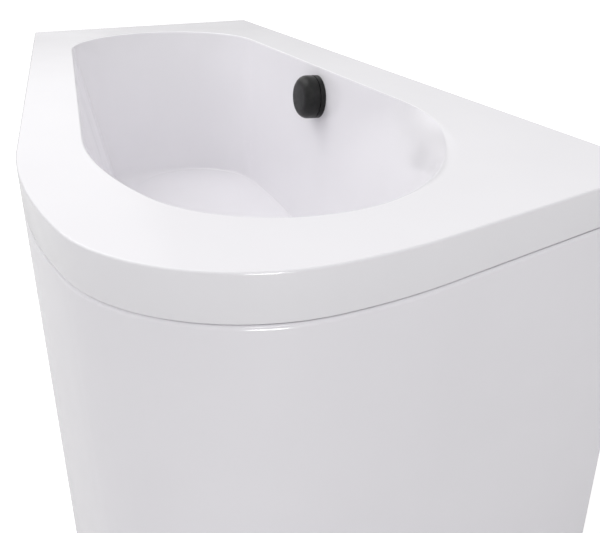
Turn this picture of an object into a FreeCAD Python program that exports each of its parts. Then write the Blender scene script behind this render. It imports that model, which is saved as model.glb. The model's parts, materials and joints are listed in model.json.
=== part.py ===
import FreeCAD, Part
import math
import os
import re
import Sketcher
from FreeCAD import Placement, Rotation, Vector

# Asymmetric acrylic bathtub with a wrap-round apron panel, levelling feet and a pop-up waste.
# The origin is on the floor under the middle of the rim: +X to the rounded head end,
# +Y to the wall side, +Z up. Lengths are in millimetres.

SIZES = [
    # Rim seen from above
    ("tub_length", 1500),
    ("tub_width", 700),
    ("rim_height", 590),
    ("foot_setback", 155),
    ("head_setback", 82),
    ("front_arc_radius", 930),
    ("front_crown_setback", 352),
    ("end_arc_radius", 640),
    ("end_crown_setback", 233),
    ("head_corner_radius", 220),
    ("rim_corner_radius", 8),
    # Shell section
    ("shell_wall", 6),
    ("fascia_depth", 50),
    ("rim_edge_radius", 4),
    ("opening_edge_radius", 5),
    ("head_edge_radius", 45),
    ("under_edge_radius", 2),
    ("soft_start_share", 0.6),
    ("soft_finish_share", 0.4),
    ("cut_overrun", 20),
    # Basin: the width of the rim on each side, and how far each wall leans in at the floor
    ("basin_depth", 330),
    ("rear_ledge", 103),
    ("foot_ledge", 119),
    ("front_ledge", 83),
    ("head_ledge", 109),
    ("rear_inset", 19),
    ("foot_inset", 76),
    ("front_inset", 67),
    ("head_inset", 212),
    ("backrest_sag_share", 0.32),
    ("basin_front_radius", 584),
    ("basin_end_radius", 649),
    ("rim_egg_share", 0.8134),
    ("floor_egg_share", 0.9719),
    ("rim_egg_place_share", 0.5814),
    ("floor_egg_place_share", 0.55),
    ("floor_fillet", 9),
    # Apron panel
    ("panel_sheet", 4),
    ("seam_gap", 2),
    ("panel_floor_gap", 10),
    ("panel_top_return", 22),
    ("panel_foot_return", 30),
    ("panel_edge_radius", 6),
    ("panel_end_gap", 10),
    # Base board and rim battens
    ("board_thickness", 16),
    ("board_margin", 6),
    ("board_cutout_gap", 3),
    ("batten_width", 40),
    ("batten_thickness", 18),
    ("batten_gap", 2),
    ("front_batten_share", 0.88),
    ("end_batten_share", 0.8),
    # Leg rails
    ("foot_rail_setback", 320),
    ("head_rail_setback", 420),
    ("rail_front_gap", 100),
    ("rail_wall_gap", 80),
    ("rail_width", 40),
    ("rail_depth", 45),
    ("rail_sheet", 2.5),
    ("rail_screw_share", 0.26),
    # Levelling feet
    ("foot_inset_on_rail", 40),
    ("stud_diameter", 12),
    ("stud_free_end", 14),
    ("stud_chamfer", 1),
    ("stud_hole_gap", 0.5),
    ("thread_gap", 0.05),
    ("nut_across_flats", 19),
    ("nut_height", 9),
    ("pad_diameter", 50),
    ("pad_brim", 8),
    ("pad_shoulder", 16),
    ("pad_height", 26),
    ("pad_neck_diameter", 24),
    ("pad_web", 10),
    # Screws, panel clips and panel stays
    ("screw_head_diameter", 8),
    ("screw_head_height", 2.5),
    ("screw_diameter", 4),
    ("screw_length", 15),
    ("clip_sheet", 1.5),
    ("clip_width", 30),
    ("clip_top", 20),
    ("clip_hook", 14),
    ("clip_gap", 1),
    ("stay_sheet", 3),
    ("stay_width", 30),
    ("stay_lap", 22),
    ("stay_toe", 22),
    # Overflow
    ("overflow_drop", 57),
    ("overflow_hole", 52),
    ("overflow_gasket_sheet", 3),
    ("overflow_gasket_diameter", 72),
    ("cup_flange_diameter", 74),
    ("cup_flange", 4),
    ("cup_diameter", 62),
    ("cup_wall", 3),
    ("cup_depth", 48),
    ("spigot_reach", 64),
    ("ring_diameter", 82),
    ("ring_height", 10),
    ("ring_gap", 0.2),
    ("sleeve_diameter", 50),
    ("sleeve_wall", 3),
    ("ring_sleeve_reach", 20),
    ("hub_diameter", 16),
    ("hub_back", 10),
    ("hub_front", 4),
    ("spoke_width", 5),
    ("spindle_diameter", 8),
    ("spindle_gap", 0.05),
    ("spindle_tail", 10),
    ("drum_diameter", 26),
    ("drum_thickness", 8),
    ("gland_diameter", 12),
    ("gland_bore", 6),
    ("gland_reach", 14),
    ("knob_diameter", 82),
    ("knob_gap", 2.5),
    ("knob_depth", 22.5),
    ("knob_skirt", 4),
    ("knob_front", 5),
    ("knob_edge_radius", 4),
    ("carrier_sheet", 4),
    ("carrier_boss_diameter", 18),
    # Overflow pipe run
    ("pipe_diameter", 32),
    ("pipe_wall", 2),
    ("pipe_fit_gap", 0.3),
    ("socket_wall", 3),
    ("socket_depth", 20),
    ("pipe_bend_radius", 28),
    ("pipe_socket_length", 24),
    ("slip_nut_diameter", 50),
    ("slip_nut_height", 16),
    ("slip_nut_lip", 3),
    ("slip_thread_gap", 0.15),
    # Waste
    ("waste_share", 0.4573),
    ("waste_from_wall", 290),
    ("well_diameter", 88),
    ("well_depth", 5),
    ("drain_hole", 52),
    ("flange_gasket_sheet", 2),
    ("flange_gasket_diameter", 66),
    ("flange_diameter", 72),
    ("flange_brim", 3.5),
    ("flange_lip", 3),
    ("flange_seat", 2),
    ("flange_sleeve_reach", 30),
    ("flange_hub_top", 10),
    ("flange_hub_foot", 24),
    ("flange_hub_diameter", 14),
    ("body_gasket_sheet", 3),
    ("body_gasket_diameter", 76),
    ("body_flange_diameter", 80),
    ("body_flange", 4),
    ("body_diameter", 62),
    ("body_wall", 3.5),
    ("body_depth", 60),
    ("body_cone", 8),
    ("body_neck_end", 96),
    ("inlet_drop", 40),
    ("inlet_reach", 65),
    # Pop-up plug
    ("plug_diameter", 62),
    ("plug_thickness", 3),
    ("plug_crown", 2),
    ("seal_diameter", 60),
    ("seal_bore", 48),
    ("seal_sheet", 2.5),
    ("seal_gap", 0.1),
    ("stem_reach", 34),
    ("stem_tip_radius", 1.2),
    ("lever_gap", 0.3),
    ("lever_arm", 22),
    ("lever_tip", 3),
    ("lever_width", 8),
    ("lever_thickness", 3),
    ("lever_eye_radius", 3.5),
    ("lever_pin_diameter", 3),
    ("lever_pin_gap", 0.05),
    ("lug_gap", 0.6),
    ("lug_sheet", 3),
    ("lug_half_height", 4.5),
    # Trap
    ("trap_pipe_diameter", 40),
    ("trap_pipe_wall", 2.5),
    ("outlet_diameter", 50),
    ("trap_bend_radius", 45),
    ("trap_drop", 34),
    ("trap_rise", 26),
    ("outlet_bend_radius", 34),
    ("outlet_leg", 25),
    ("outlet_spigot", 75),
    ("trap_nut_diameter", 62),
    ("trap_nut_height", 18),
]

doc = FreeCAD.newDocument("bathtub")
sheet = doc.addObject("Spreadsheet::Sheet", "Sizes")
for row, (alias, number) in enumerate(SIZES, start=1):
    sheet.set("A%d" % row, alias)
    sheet.set("B%d" % row, str(number))
    sheet.setAlias("B%d" % row, alias)
doc.recompute()

ALIASES = {alias for alias, number in SIZES}
EPSILON = 1e-9
TOUCH = 1e-4
UP = Vector(0, 0, 1)
DOWN = Vector(0, 0, -1)
NODES = []


def value(expression):
    """Number that an expression in sheet aliases stands for."""
    return float(sheet.evalExpression(expression))


def bound(expression):
    """The same expression with every alias pointing at the sheet."""
    return re.sub(r"[a-z_]+", lambda word: "Sizes." + word[0] if word[0] in ALIASES else word[0], expression)


def fit(item, **sizes):
    """Bind properties of an object to expressions, or set them from derived numbers."""
    for name, size in sizes.items():
        if isinstance(size, str):
            item.setExpression(name, bound(size))
        else:
            setattr(item, name, size)
    return item


def node(label, item):
    """Enter an object as a sub-part that is written to its own file."""
    item.Label = label
    NODES.append((label, item))
    return item


def feature(name, shape):
    """Hold a computed shape in the document."""
    item = doc.addObject("Part::Feature", name)
    item.Shape = shape
    return item


def cylinder(name, radius, height, where=None):
    """Round bar along local Z."""
    item = fit(doc.addObject("Part::Cylinder", name), Radius=radius, Height=height)
    item.Placement = where or Placement()
    return item


def block(name, length, width, height, where=None):
    """Rectangular bar from one corner."""
    item = fit(doc.addObject("Part::Box", name), Length=length, Width=width, Height=height)
    item.Placement = where or Placement()
    return item


def fused(name, items):
    """Join several objects into one solid."""
    item = doc.addObject("Part::MultiFuse", name)
    item.Shapes = items
    item.Refine = True
    doc.recompute()
    return item


def cut(name, base, tools):
    """Cut tools out of a base, and make sure that something was cut."""
    item = doc.addObject("Part::Cut", name)
    item.Base = base
    item.Tool = tools[0] if len(tools) == 1 else fused(name + "_tools", tools)
    item.Refine = True
    doc.recompute()
    if item.Shape.Volume > base.Shape.Volume - EPSILON:
        raise RuntimeError(name + " removes nothing")
    return item


def tube(name, radius, bore, height, where=None):
    """Round bar with a bore all the way through."""
    outside = cylinder(name + "_outside", radius, height, where)
    inside = cylinder(name + "_inside", bore, height, where)
    return cut(name, outside, [inside])


def extruded(name, wire, depth):
    """Solid that stands under a closed plane wire."""
    outline = feature(name + "_outline", wire)
    item = doc.addObject("Part::Extrusion", name)
    item.Base = outline
    item.DirMode = "Custom"
    item.Dir = DOWN
    item.Solid = True
    fit(item, LengthFwd=depth)
    doc.recompute()
    return item


def origin_plane(body, role):
    """One of a body's own origin planes."""
    return next(plane for plane in body.Origin.OriginFeatures if plane.Role == role)


def sketched(body, name, role, points):
    """Closed sketch of straight sides whose corners are bound to the sheet."""
    sketch = body.newObject("Sketcher::SketchObject", name)
    sketch.AttachmentSupport = [(origin_plane(body, role), "")]
    sketch.MapMode = "FlatFace"
    corners = [Vector(value(across), value(along), 0) for across, along in points]
    count = len(corners)
    for index in range(count):
        sketch.addGeometry(Part.LineSegment(corners[index], corners[(index + 1) % count]), False)
    for index in range(count):
        sketch.addConstraint(Sketcher.Constraint("Coincident", index, 2, (index + 1) % count, 1))
    for index, (across, along) in enumerate(points):
        for kind, axis, size in (("DistanceX", -2, across), ("DistanceY", -1, along)):
            if abs(value(size)) < EPSILON:
                sketch.addConstraint(Sketcher.Constraint("PointOnObject", index, 1, axis))
                continue
            rule = Sketcher.Constraint(kind, -1, 1, index, 1, value(size))
            sketch.setExpression("Constraints[%d]" % sketch.addConstraint(rule), bound(size))
    return sketch


def turned(name, points, where=None):
    """Body turned about its local Z axis from a radius and height profile."""
    body = doc.addObject("PartDesign::Body", name)
    sketch = sketched(body, name + "_profile", "XZ_Plane", points)
    turn = body.newObject("PartDesign::Revolution", name + "_turn")
    turn.Profile = sketch
    turn.ReferenceAxis = (sketch, ["V_Axis"])
    turn.Angle = 360
    body.Placement = where or Placement()
    doc.recompute()
    return body


def padded(name, points, length, where=None):
    """Body padded both ways along its local Y axis from a profile in XZ."""
    body = doc.addObject("PartDesign::Body", name)
    sketch = sketched(body, name + "_profile", "XZ_Plane", points)
    pad = body.newObject("PartDesign::Pad", name + "_pad")
    pad.Profile = sketch
    pad.SideType = "Symmetric"
    fit(pad, Length=length)
    body.Placement = where or Placement()
    doc.recompute()
    return body


def rounded(body, radius, levels):
    """Fillet a turned body's outermost circular edges at the given local heights."""
    base = body.Tip
    doc.recompute()
    names = []
    for level in levels:
        rings = []
        for index, edge in enumerate(base.Shape.Edges, start=1):
            if isinstance(edge.Curve, Part.Circle) and abs(edge.Curve.Center.z - level) < EPSILON:
                rings.append((edge.Curve.Radius, "Edge%d" % index))
        names.append(max(rings)[1])
    soft = body.newObject("PartDesign::Fillet", body.Name + "_soft")
    soft.Base = (base, names)
    fit(soft, Radius=radius)
    doc.recompute()
    return body


def copies(name, item, places):
    """Group of equal solids, one at each place."""
    solids = []
    for place in places:
        solid = item.Shape.copy()
        solid.Placement = place
        solids.append(solid)
    return feature(name, Part.makeCompound(solids))


def swept(name, spine, section):
    """Solid swept along a plane wire."""
    path = feature(name + "_path", spine)
    profile = feature(name + "_section", section)
    item = doc.addObject("Part::Sweep", name)
    item.Sections = [profile]
    item.Spine = path
    item.Solid = True
    item.Frenet = False
    doc.recompute()
    return item


def circle_across(start, direction, radius):
    """Circular wire square to a direction."""
    return Part.Wire(Part.makeCircle(radius, start, direction))


def arc_between(start, end, centre):
    """Arc of less than half a turn about a centre."""
    middle = (start - centre).normalize() + (end - centre).normalize()
    return Part.Arc(start, centre + middle.normalize() * (start - centre).Length, end).toShape()


def tangent_from(point, centre, radius, side):
    """Point where a line from outside touches a circle, on the left (1) or right (-1)."""
    reach = centre - point
    swing = math.degrees(math.asin(radius / reach.Length)) * side
    length = math.sqrt(reach.Length ** 2 - radius ** 2)
    return point + Rotation(Vector(0, 0, 1), swing).multVec(reach).normalize() * length


def circles_meet(first, first_radius, second, second_radius, towards):
    """The point common to two circles that lies furthest in a direction."""
    between = second - first
    gap = between.Length
    along = (gap ** 2 + first_radius ** 2 - second_radius ** 2) / (2 * gap)
    aside = math.sqrt(first_radius ** 2 - along ** 2)
    unit = between.normalize()
    normal = Vector(-unit.y, unit.x, 0)
    choices = [first + unit * along + normal * aside, first + unit * along - normal * aside]
    return max(choices, key=lambda point: point.dot(towards))


def inward(direction):
    """Level direction to the left of another."""
    return Vector(-direction.y, direction.x, 0)


def polygon_wire(points):
    """Closed wire of straight sides."""
    return Part.makePolygon(points + points[:1])


def local_frame(origin, direction):
    """Placement whose X runs in a level direction and whose Y points left of it."""
    return Placement(origin, Rotation(Vector(0, 0, 1), math.degrees(math.atan2(direction.y, direction.x))))


# Plan of the rim: square foot end, straight wall side, rounded head end on the room side
LENGTH = value("tub_length")
WIDTH = value("tub_width")
RIM = value("rim_height")
WALL = value("shell_wall")
foot_x = -LENGTH / 2
head_x = LENGTH / 2
wall_y = WIDTH / 2
room_y = -WIDTH / 2
foot_corner = Vector(foot_x, room_y + value("foot_setback"), 0)
wall_corner = Vector(foot_x, wall_y, 0)
head_corner = Vector(head_x - value("head_setback"), wall_y, 0)
front_radius = value("front_arc_radius")
end_radius = value("end_arc_radius")
corner_radius = value("head_corner_radius")
front_centre = Vector(head_x - value("front_crown_setback"), room_y + front_radius, 0)
end_centre = Vector(head_x - end_radius, room_y + value("end_crown_setback"), 0)
corner_centre = circles_meet(
    front_centre, front_radius - corner_radius, end_centre, end_radius - corner_radius, Vector(1, -1, 0)
)
front_start = tangent_from(foot_corner, front_centre, front_radius, -1)
end_finish = tangent_from(head_corner, end_centre, end_radius, 1)
front_finish = front_centre + (corner_centre - front_centre).normalize() * front_radius
end_start = end_centre + (corner_centre - end_centre).normalize() * end_radius
front_way = (front_start - foot_corner).normalize()
end_way = (head_corner - end_finish).normalize()
front_in = inward(front_way)


def room_side(start, finish):
    """Edges of the rim from the foot corner round the room side to the wall."""
    return [
        Part.makeLine(start, front_start),
        arc_between(front_start, front_finish, front_centre),
        arc_between(front_finish, end_start, corner_centre),
        arc_between(end_start, end_finish, end_centre),
        Part.makeLine(end_finish, finish),
    ]


def corner_round(before, corner, after, radius):
    """Start, end and centre of a small arc that rounds a straight corner."""
    one = (before - corner).normalize()
    two = (after - corner).normalize()
    half = one.getAngle(two) / 2
    tangent = radius / math.tan(half)
    centre = corner + (one + two).normalize() * (radius / math.sin(half))
    return corner + one * tangent, corner + two * tangent, centre


def rim_wire():
    """Closed plan of the rim at the rim's height."""
    small = value("rim_corner_radius")
    head = corner_round(end_finish, head_corner, wall_corner, small)
    wall = corner_round(head_corner, wall_corner, foot_corner, small)
    foot = corner_round(wall_corner, foot_corner, front_start, small)
    edges = room_side(foot[1], head[0])
    edges.append(arc_between(*head))
    edges.append(Part.makeLine(head[1], wall[0]))
    edges.append(arc_between(*wall))
    edges.append(Part.makeLine(wall[1], foot[0]))
    edges.append(arc_between(*foot))
    wire = Part.Wire(edges)
    wire.translate(Vector(0, 0, RIM))
    return wire


def room_side_y(x):
    """Y of the room side's outer face at a place along the tub."""
    if x < front_start.x:
        return foot_corner.y + (x - foot_corner.x) * front_way.y / front_way.x
    return front_centre.y - math.sqrt(front_radius ** 2 - (x - front_centre.x) ** 2)


# Basin: egg-shaped sections that lean in with depth
DEPTH = value("basin_depth")


def between(top, foot, share):
    """Value part of the way from the rim to the floor."""
    return top + (foot - top) * share


def point_along(edge, share):
    """Point at a share of the way along an edge."""
    return edge.valueAt(between(edge.FirstParameter, edge.LastParameter, share))


def basin_wire(share, grow):
    """Section of the basin at a share of its depth, moved outwards by a distance."""
    sag = value("backrest_sag_share")
    lean = share - sag * share * (1 - share)
    rear_y = wall_y - value("rear_ledge") - value("rear_inset") * share
    near_x = foot_x + value("foot_ledge") + value("foot_inset") * share
    front_point = foot_corner + front_in * (value("front_ledge") + value("front_inset") * share)
    spread = Vector(near_x, rear_y, 0) - front_point
    foot_radius = spread.dot(front_in) / (1 - front_in.x + front_in.y)
    foot_centre = Vector(near_x + foot_radius, rear_y - foot_radius, 0)
    place = between(value("rim_egg_place_share"), value("floor_egg_place_share"), share)
    end_point = Vector(head_x - value("head_ledge") - value("head_inset") * lean, wall_y - WIDTH * place, 0)
    egg_share = between(value("rim_egg_share"), value("floor_egg_share"), share)
    egg = egg_share * (end_point - front_point).dot(front_in) / (1 + egg_share * front_in.x)
    egg_centre = end_point - Vector(egg, 0, 0)
    front_bow = value("basin_front_radius")
    end_bow = value("basin_end_radius")
    clear = egg / egg_share
    slide = math.sqrt((front_bow - egg) ** 2 - (front_bow - clear) ** 2)
    bow_centre = egg_centre - front_in * clear - front_way * slide + front_in * front_bow
    drop = egg_centre.y - (rear_y - end_bow)
    end_x = egg_centre.x - math.sqrt((end_bow - egg) ** 2 - drop ** 2)
    back_centre = Vector(end_x, rear_y - end_bow, 0)
    rear_start = Vector(end_x, rear_y + grow, 0)
    rear_finish = Vector(foot_centre.x, rear_y + grow, 0)
    front_one = foot_centre - front_in * (foot_radius + grow)
    front_two = bow_centre - front_in * (front_bow + grow)
    bow_end = bow_centre + (egg_centre - bow_centre).normalize() * (front_bow + grow)
    egg_end = back_centre + (egg_centre - back_centre).normalize() * (end_bow + grow)
    soft_start = point_along(arc_between(bow_end, egg_end, egg_centre), value("soft_start_share"))
    soft_finish = point_along(arc_between(egg_end, rear_start, back_centre), value("soft_finish_share"))
    wire = Part.Wire(
        [
            Part.makeLine(rear_start, rear_finish),
            arc_between(rear_finish, front_one, foot_centre),
            Part.makeLine(front_one, front_two),
            arc_between(front_two, bow_end, bow_centre),
            arc_between(bow_end, soft_start, egg_centre),
            arc_between(soft_start, egg_end, egg_centre),
            arc_between(egg_end, soft_finish, back_centre),
            arc_between(soft_finish, rear_start, back_centre),
        ]
    )
    wire.translate(Vector(0, 0, RIM - DEPTH * share))
    return wire


def basin_solid(name, deepest, grow, fillet):
    """Lofted basin with its floor edge rounded."""
    sections = []
    for step, share in enumerate((0, deepest / 2, deepest)):
        sections.append(feature("%s_section_%d" % (name, step), basin_wire(share, grow)))
    loft = doc.addObject("Part::Loft", name + "_loft")
    loft.Sections = sections
    loft.Solid = True
    loft.Ruled = False
    doc.recompute()
    floor = RIM - DEPTH * deepest
    soft = doc.addObject("Part::Fillet", name)
    soft.Base = loft
    soft.Edges = [
        (index, fillet, fillet)
        for index, edge in enumerate(loft.Shape.Edges, start=1)
        if edge.BoundBox.ZMax < floor + TOUCH
    ]
    doc.recompute()
    return soft


# Levels and shared places
floor_top = RIM - DEPTH
floor_under = floor_top - WALL
well_top = floor_top - value("well_depth")
well_under = floor_under - value("well_depth")
board_under = floor_under - value("board_thickness")
rail_under = board_under - value("rail_depth")
waste_x = foot_x + LENGTH * value("waste_share")
waste_y = wall_y - value("waste_from_wall")
waste_point = Vector(waste_x, waste_y, 0)
overrun = value("cut_overrun")
rear_lean = math.atan2(value("rear_inset"), DEPTH)
through_wall = WALL * math.cos(rear_lean)
overflow_share = value("overflow_drop") / DEPTH
overflow_seat = Vector(
    waste_x,
    wall_y - value("rear_ledge") - value("rear_inset") * overflow_share,
    RIM - value("overflow_drop"),
)
overflow_frame = Placement(overflow_seat, Rotation(Vector(1, 0, 0), 90 - math.degrees(rear_lean)))
waste_frame = Placement(waste_point + Vector(0, 0, well_top), Rotation())
body_frame = Placement(waste_point + Vector(0, 0, well_under), Rotation())


def on_overflow(height):
    """Overflow frame moved along its axis into the basin."""
    return overflow_frame.multiply(Placement(Vector(0, 0, height), Rotation()))


# Tub shell
rim_block = extruded("rim_block", rim_wire(), "fascia_depth")
rim_hollow_wire = rim_wire().makeOffset2D(-WALL)
rim_hollow_wire.translate(Vector(0, 0, -WALL))
rim_hollow = extruded("rim_hollow", rim_hollow_wire, "fascia_depth")
rim = cut("rim", rim_block, [rim_hollow])
basin_outside = basin_solid("basin_outside", 1 + WALL / DEPTH, WALL, value("floor_fillet") + WALL)
well_boss = cylinder(
    "well_boss",
    "well_diameter / 2 + shell_wall",
    "well_depth + shell_wall",
    body_frame,
)
shell_blank = fused("shell_blank", [rim, basin_outside, well_boss])


def widening(edge, corner, narrow, wide):
    """Radius at each end of an edge of the opening, which widens at the backrest's corner."""
    ends = [edge.valueAt(edge.FirstParameter), edge.valueAt(edge.LastParameter)]
    return [wide if (end - corner).Length < WALL else narrow for end in ends]


def lies_on(edge, shape):
    """True where the middle of an edge lies on a shape."""
    return Part.Vertex(point_along(edge, 0.5)).distToShape(shape)[0] < TOUCH


# The sheet keeps its thickness where the opening's edge is soft, so its underside is rounded too
under_corner = basin_wire(WALL / DEPTH, WALL).OrderedVertexes[-2].Point
under_list = []
for index, edge in enumerate(shell_blank.Shape.Edges, start=1):
    level = edge.BoundBox
    at_underside = level.ZMin > RIM - WALL - TOUCH and level.ZMax < RIM - WALL + TOUCH
    if at_underside and lies_on(edge, basin_outside.Shape):
        wide = value("head_edge_radius") - WALL
        under_list.append((index, *widening(edge, under_corner, value("under_edge_radius"), wide)))
shell_formed = doc.addObject("Part::Fillet", "shell_formed")
shell_formed.Base = shell_blank
shell_formed.Edges = under_list
doc.recompute()
basin_inside = basin_solid("basin_inside", 1, 0, value("floor_fillet"))
well = cylinder("well", "well_diameter / 2", "well_depth + cut_overrun", waste_frame)
drain_hole = cylinder(
    "drain_cut",
    "drain_hole / 2",
    "cut_overrun * 2",
    Placement(waste_point + Vector(0, 0, well_top - overrun), Rotation()),
)
overflow_cut = cylinder("overflow_cut", "overflow_hole / 2", "cut_overrun * 2", on_overflow(-overrun))
shell_cut = cut("shell_cut", shell_formed, [basin_inside, well, drain_hole, overflow_cut])
opening_corner = basin_wire(0, 0).OrderedVertexes[-2].Point
edge_list = []
for index, edge in enumerate(shell_cut.Shape.Edges, start=1):
    if edge.BoundBox.ZMin > RIM - TOUCH:
        radii = [value("rim_edge_radius")] * 2
        if lies_on(edge, basin_inside.Shape):
            radii = widening(edge, opening_corner, value("opening_edge_radius"), value("head_edge_radius"))
        edge_list.append((index, *radii))
tub_shell = doc.addObject("Part::Fillet", "tub_shell")
tub_shell.Base = shell_cut
tub_shell.Edges = edge_list
doc.recompute()
node("tub_shell", tub_shell)

# Apron panel: one formed sheet with a return along its top and its foot
panel_top = RIM - value("fascia_depth") - value("seam_gap")
panel_foot = value("panel_floor_gap")
sheet_in = value("panel_sheet")
panel_start = foot_corner + front_way * value("panel_end_gap")
panel_finish = head_corner - end_way * value("panel_end_gap")
panel_path = Part.Wire(room_side(panel_start, panel_finish))
panel_round = value("panel_edge_radius")
top_in = value("panel_top_return")
foot_in = value("panel_foot_return")


def panel_point(inwards, height):
    """Point of the panel's section at the start of its path."""
    return panel_start + front_in * inwards + Vector(0, 0, height)


def panel_bend(height, turn):
    """Edges of the outer and inner bend where the panel turns into a return at a height."""
    centre = panel_point(panel_round, height - turn * panel_round)
    outer = (panel_point(0, height - turn * panel_round), panel_point(panel_round, height))
    inner = (
        panel_point(sheet_in, height - turn * panel_round),
        panel_point(panel_round, height - turn * sheet_in),
    )
    return arc_between(outer[0], outer[1], centre), arc_between(inner[0], inner[1], centre), outer, inner


top_outer, top_inner, top_out, top_inn = panel_bend(panel_top, 1)
foot_outer, foot_inner, foot_out, foot_inn = panel_bend(panel_foot, -1)
top_tip = (panel_point(top_in, panel_top), panel_point(top_in, panel_top - sheet_in))
foot_tip = (panel_point(foot_in, panel_foot), panel_point(foot_in, panel_foot + sheet_in))
panel_section = Part.Wire(
    [
        Part.makeLine(foot_out[0], top_out[0]),
        top_outer,
        Part.makeLine(top_out[1], top_tip[0]),
        Part.makeLine(top_tip[0], top_tip[1]),
        Part.makeLine(top_tip[1], top_inn[1]),
        top_inner,
        Part.makeLine(top_inn[0], foot_inn[0]),
        foot_inner,
        Part.makeLine(foot_inn[1], foot_tip[1]),
        Part.makeLine(foot_tip[1], foot_tip[0]),
        Part.makeLine(foot_tip[0], foot_out[1]),
        foot_outer,
    ]
)
panel_blank = swept("panel_blank", panel_path, panel_section)

# Screw shared by the rails, the clips and the stays: it points up from its head
screw = turned(
    "screw",
    [
        ("0", "-screw_head_height"),
        ("screw_head_diameter / 2", "-screw_head_height"),
        ("screw_head_diameter / 2", "0"),
        ("screw_diameter / 2", "0"),
        ("screw_diameter / 2", "screw_length"),
        ("0", "screw_length"),
    ],
)


def drills(name, points):
    """Cutters for screw holes that start under each point."""
    return [
        cylinder("%s_%d" % (name, index), "screw_diameter / 2", "screw_length", Placement(point, Rotation()))
        for index, point in enumerate(points)
    ]


def upright(points):
    """Placements without any turn."""
    return [Placement(point, Rotation()) for point in points]


# Rim battens and the clips that hold the panel's top return under them
batten_under = RIM - WALL - value("batten_thickness")
clip_start = top_in + value("clip_gap")
clip_foot = panel_top - sheet_in - value("clip_sheet")
clip_drop = batten_under - clip_foot
clip_half = value("clip_width") / 2
clip_points = [
    (clip_start, clip_drop),
    (clip_start + value("clip_top"), clip_drop),
    (clip_start + value("clip_top"), clip_drop - value("clip_sheet")),
    (clip_start + value("clip_sheet"), clip_drop - value("clip_sheet")),
    (clip_start + value("clip_sheet"), 0),
    (clip_start - value("clip_hook"), 0),
    (clip_start - value("clip_hook"), value("clip_sheet")),
    (clip_start, value("clip_sheet")),
]
clip_face = Part.Face(polygon_wire([Vector(-clip_half, inwards, up) for inwards, up in clip_points]))
clip_blank = feature("clip_blank", clip_face.extrude(Vector(value("clip_width"), 0, 0)))
clip_screw_in = clip_start + value("clip_top") / 2
CLIP_SHARES = {"front": (0.08, 0.5, 0.92), "end": (0.2, 0.8)}


def batten(name, start, finish, share, clip_shares):
    """Batten along a straight side, and the frames of the clips on it."""
    way = (finish - start).normalize()
    run = (finish - start).Length
    first = start + way * (run * (1 - share) / 2)
    offset = inward(way) * (WALL + value("batten_gap"))
    frame = local_frame(first + offset + Vector(0, 0, batten_under), way)
    bar = block(name + "_bar", run * share, "batten_width", "batten_thickness", frame)
    clip_places = [first + way * (run * share * part) for part in clip_shares]
    frames = [local_frame(place + Vector(0, 0, clip_foot), way) for place in clip_places]
    seats = [place + inward(way) * clip_screw_in + Vector(0, 0, batten_under) for place in clip_places]
    heads = [seat - Vector(0, 0, value("clip_sheet")) for seat in seats]
    doc.recompute()
    node(name, cut(name, bar, drills(name + "_drill", heads)))
    return frames, heads


front_clips, front_heads = batten(
    "front_rim_batten", foot_corner, front_start, value("front_batten_share"), CLIP_SHARES["front"]
)
end_clips, end_heads = batten(
    "end_rim_batten", end_finish, head_corner, value("end_batten_share"), CLIP_SHARES["end"]
)
clip_group = copies("clip_group", clip_blank, front_clips + end_clips)
node("panel_clips", cut("panel_clips", clip_group, drills("clip_drill", front_heads + end_heads)))
node("clip_screws", copies("clip_screws", screw, upright(front_heads + end_heads)))

# Base board under the basin floor
board_grow = -(value("floor_fillet") + value("board_margin"))
board_wire = basin_wire(1, board_grow)
board_wire.translate(Vector(0, 0, -WALL))
board = extruded("board_blank", board_wire, "board_thickness")
board_hole = cylinder(
    "board_hole",
    "well_diameter / 2 + shell_wall + board_cutout_gap",
    "board_thickness + cut_overrun * 2",
    Placement(waste_point + Vector(0, 0, board_under - overrun), Rotation()),
)

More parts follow.
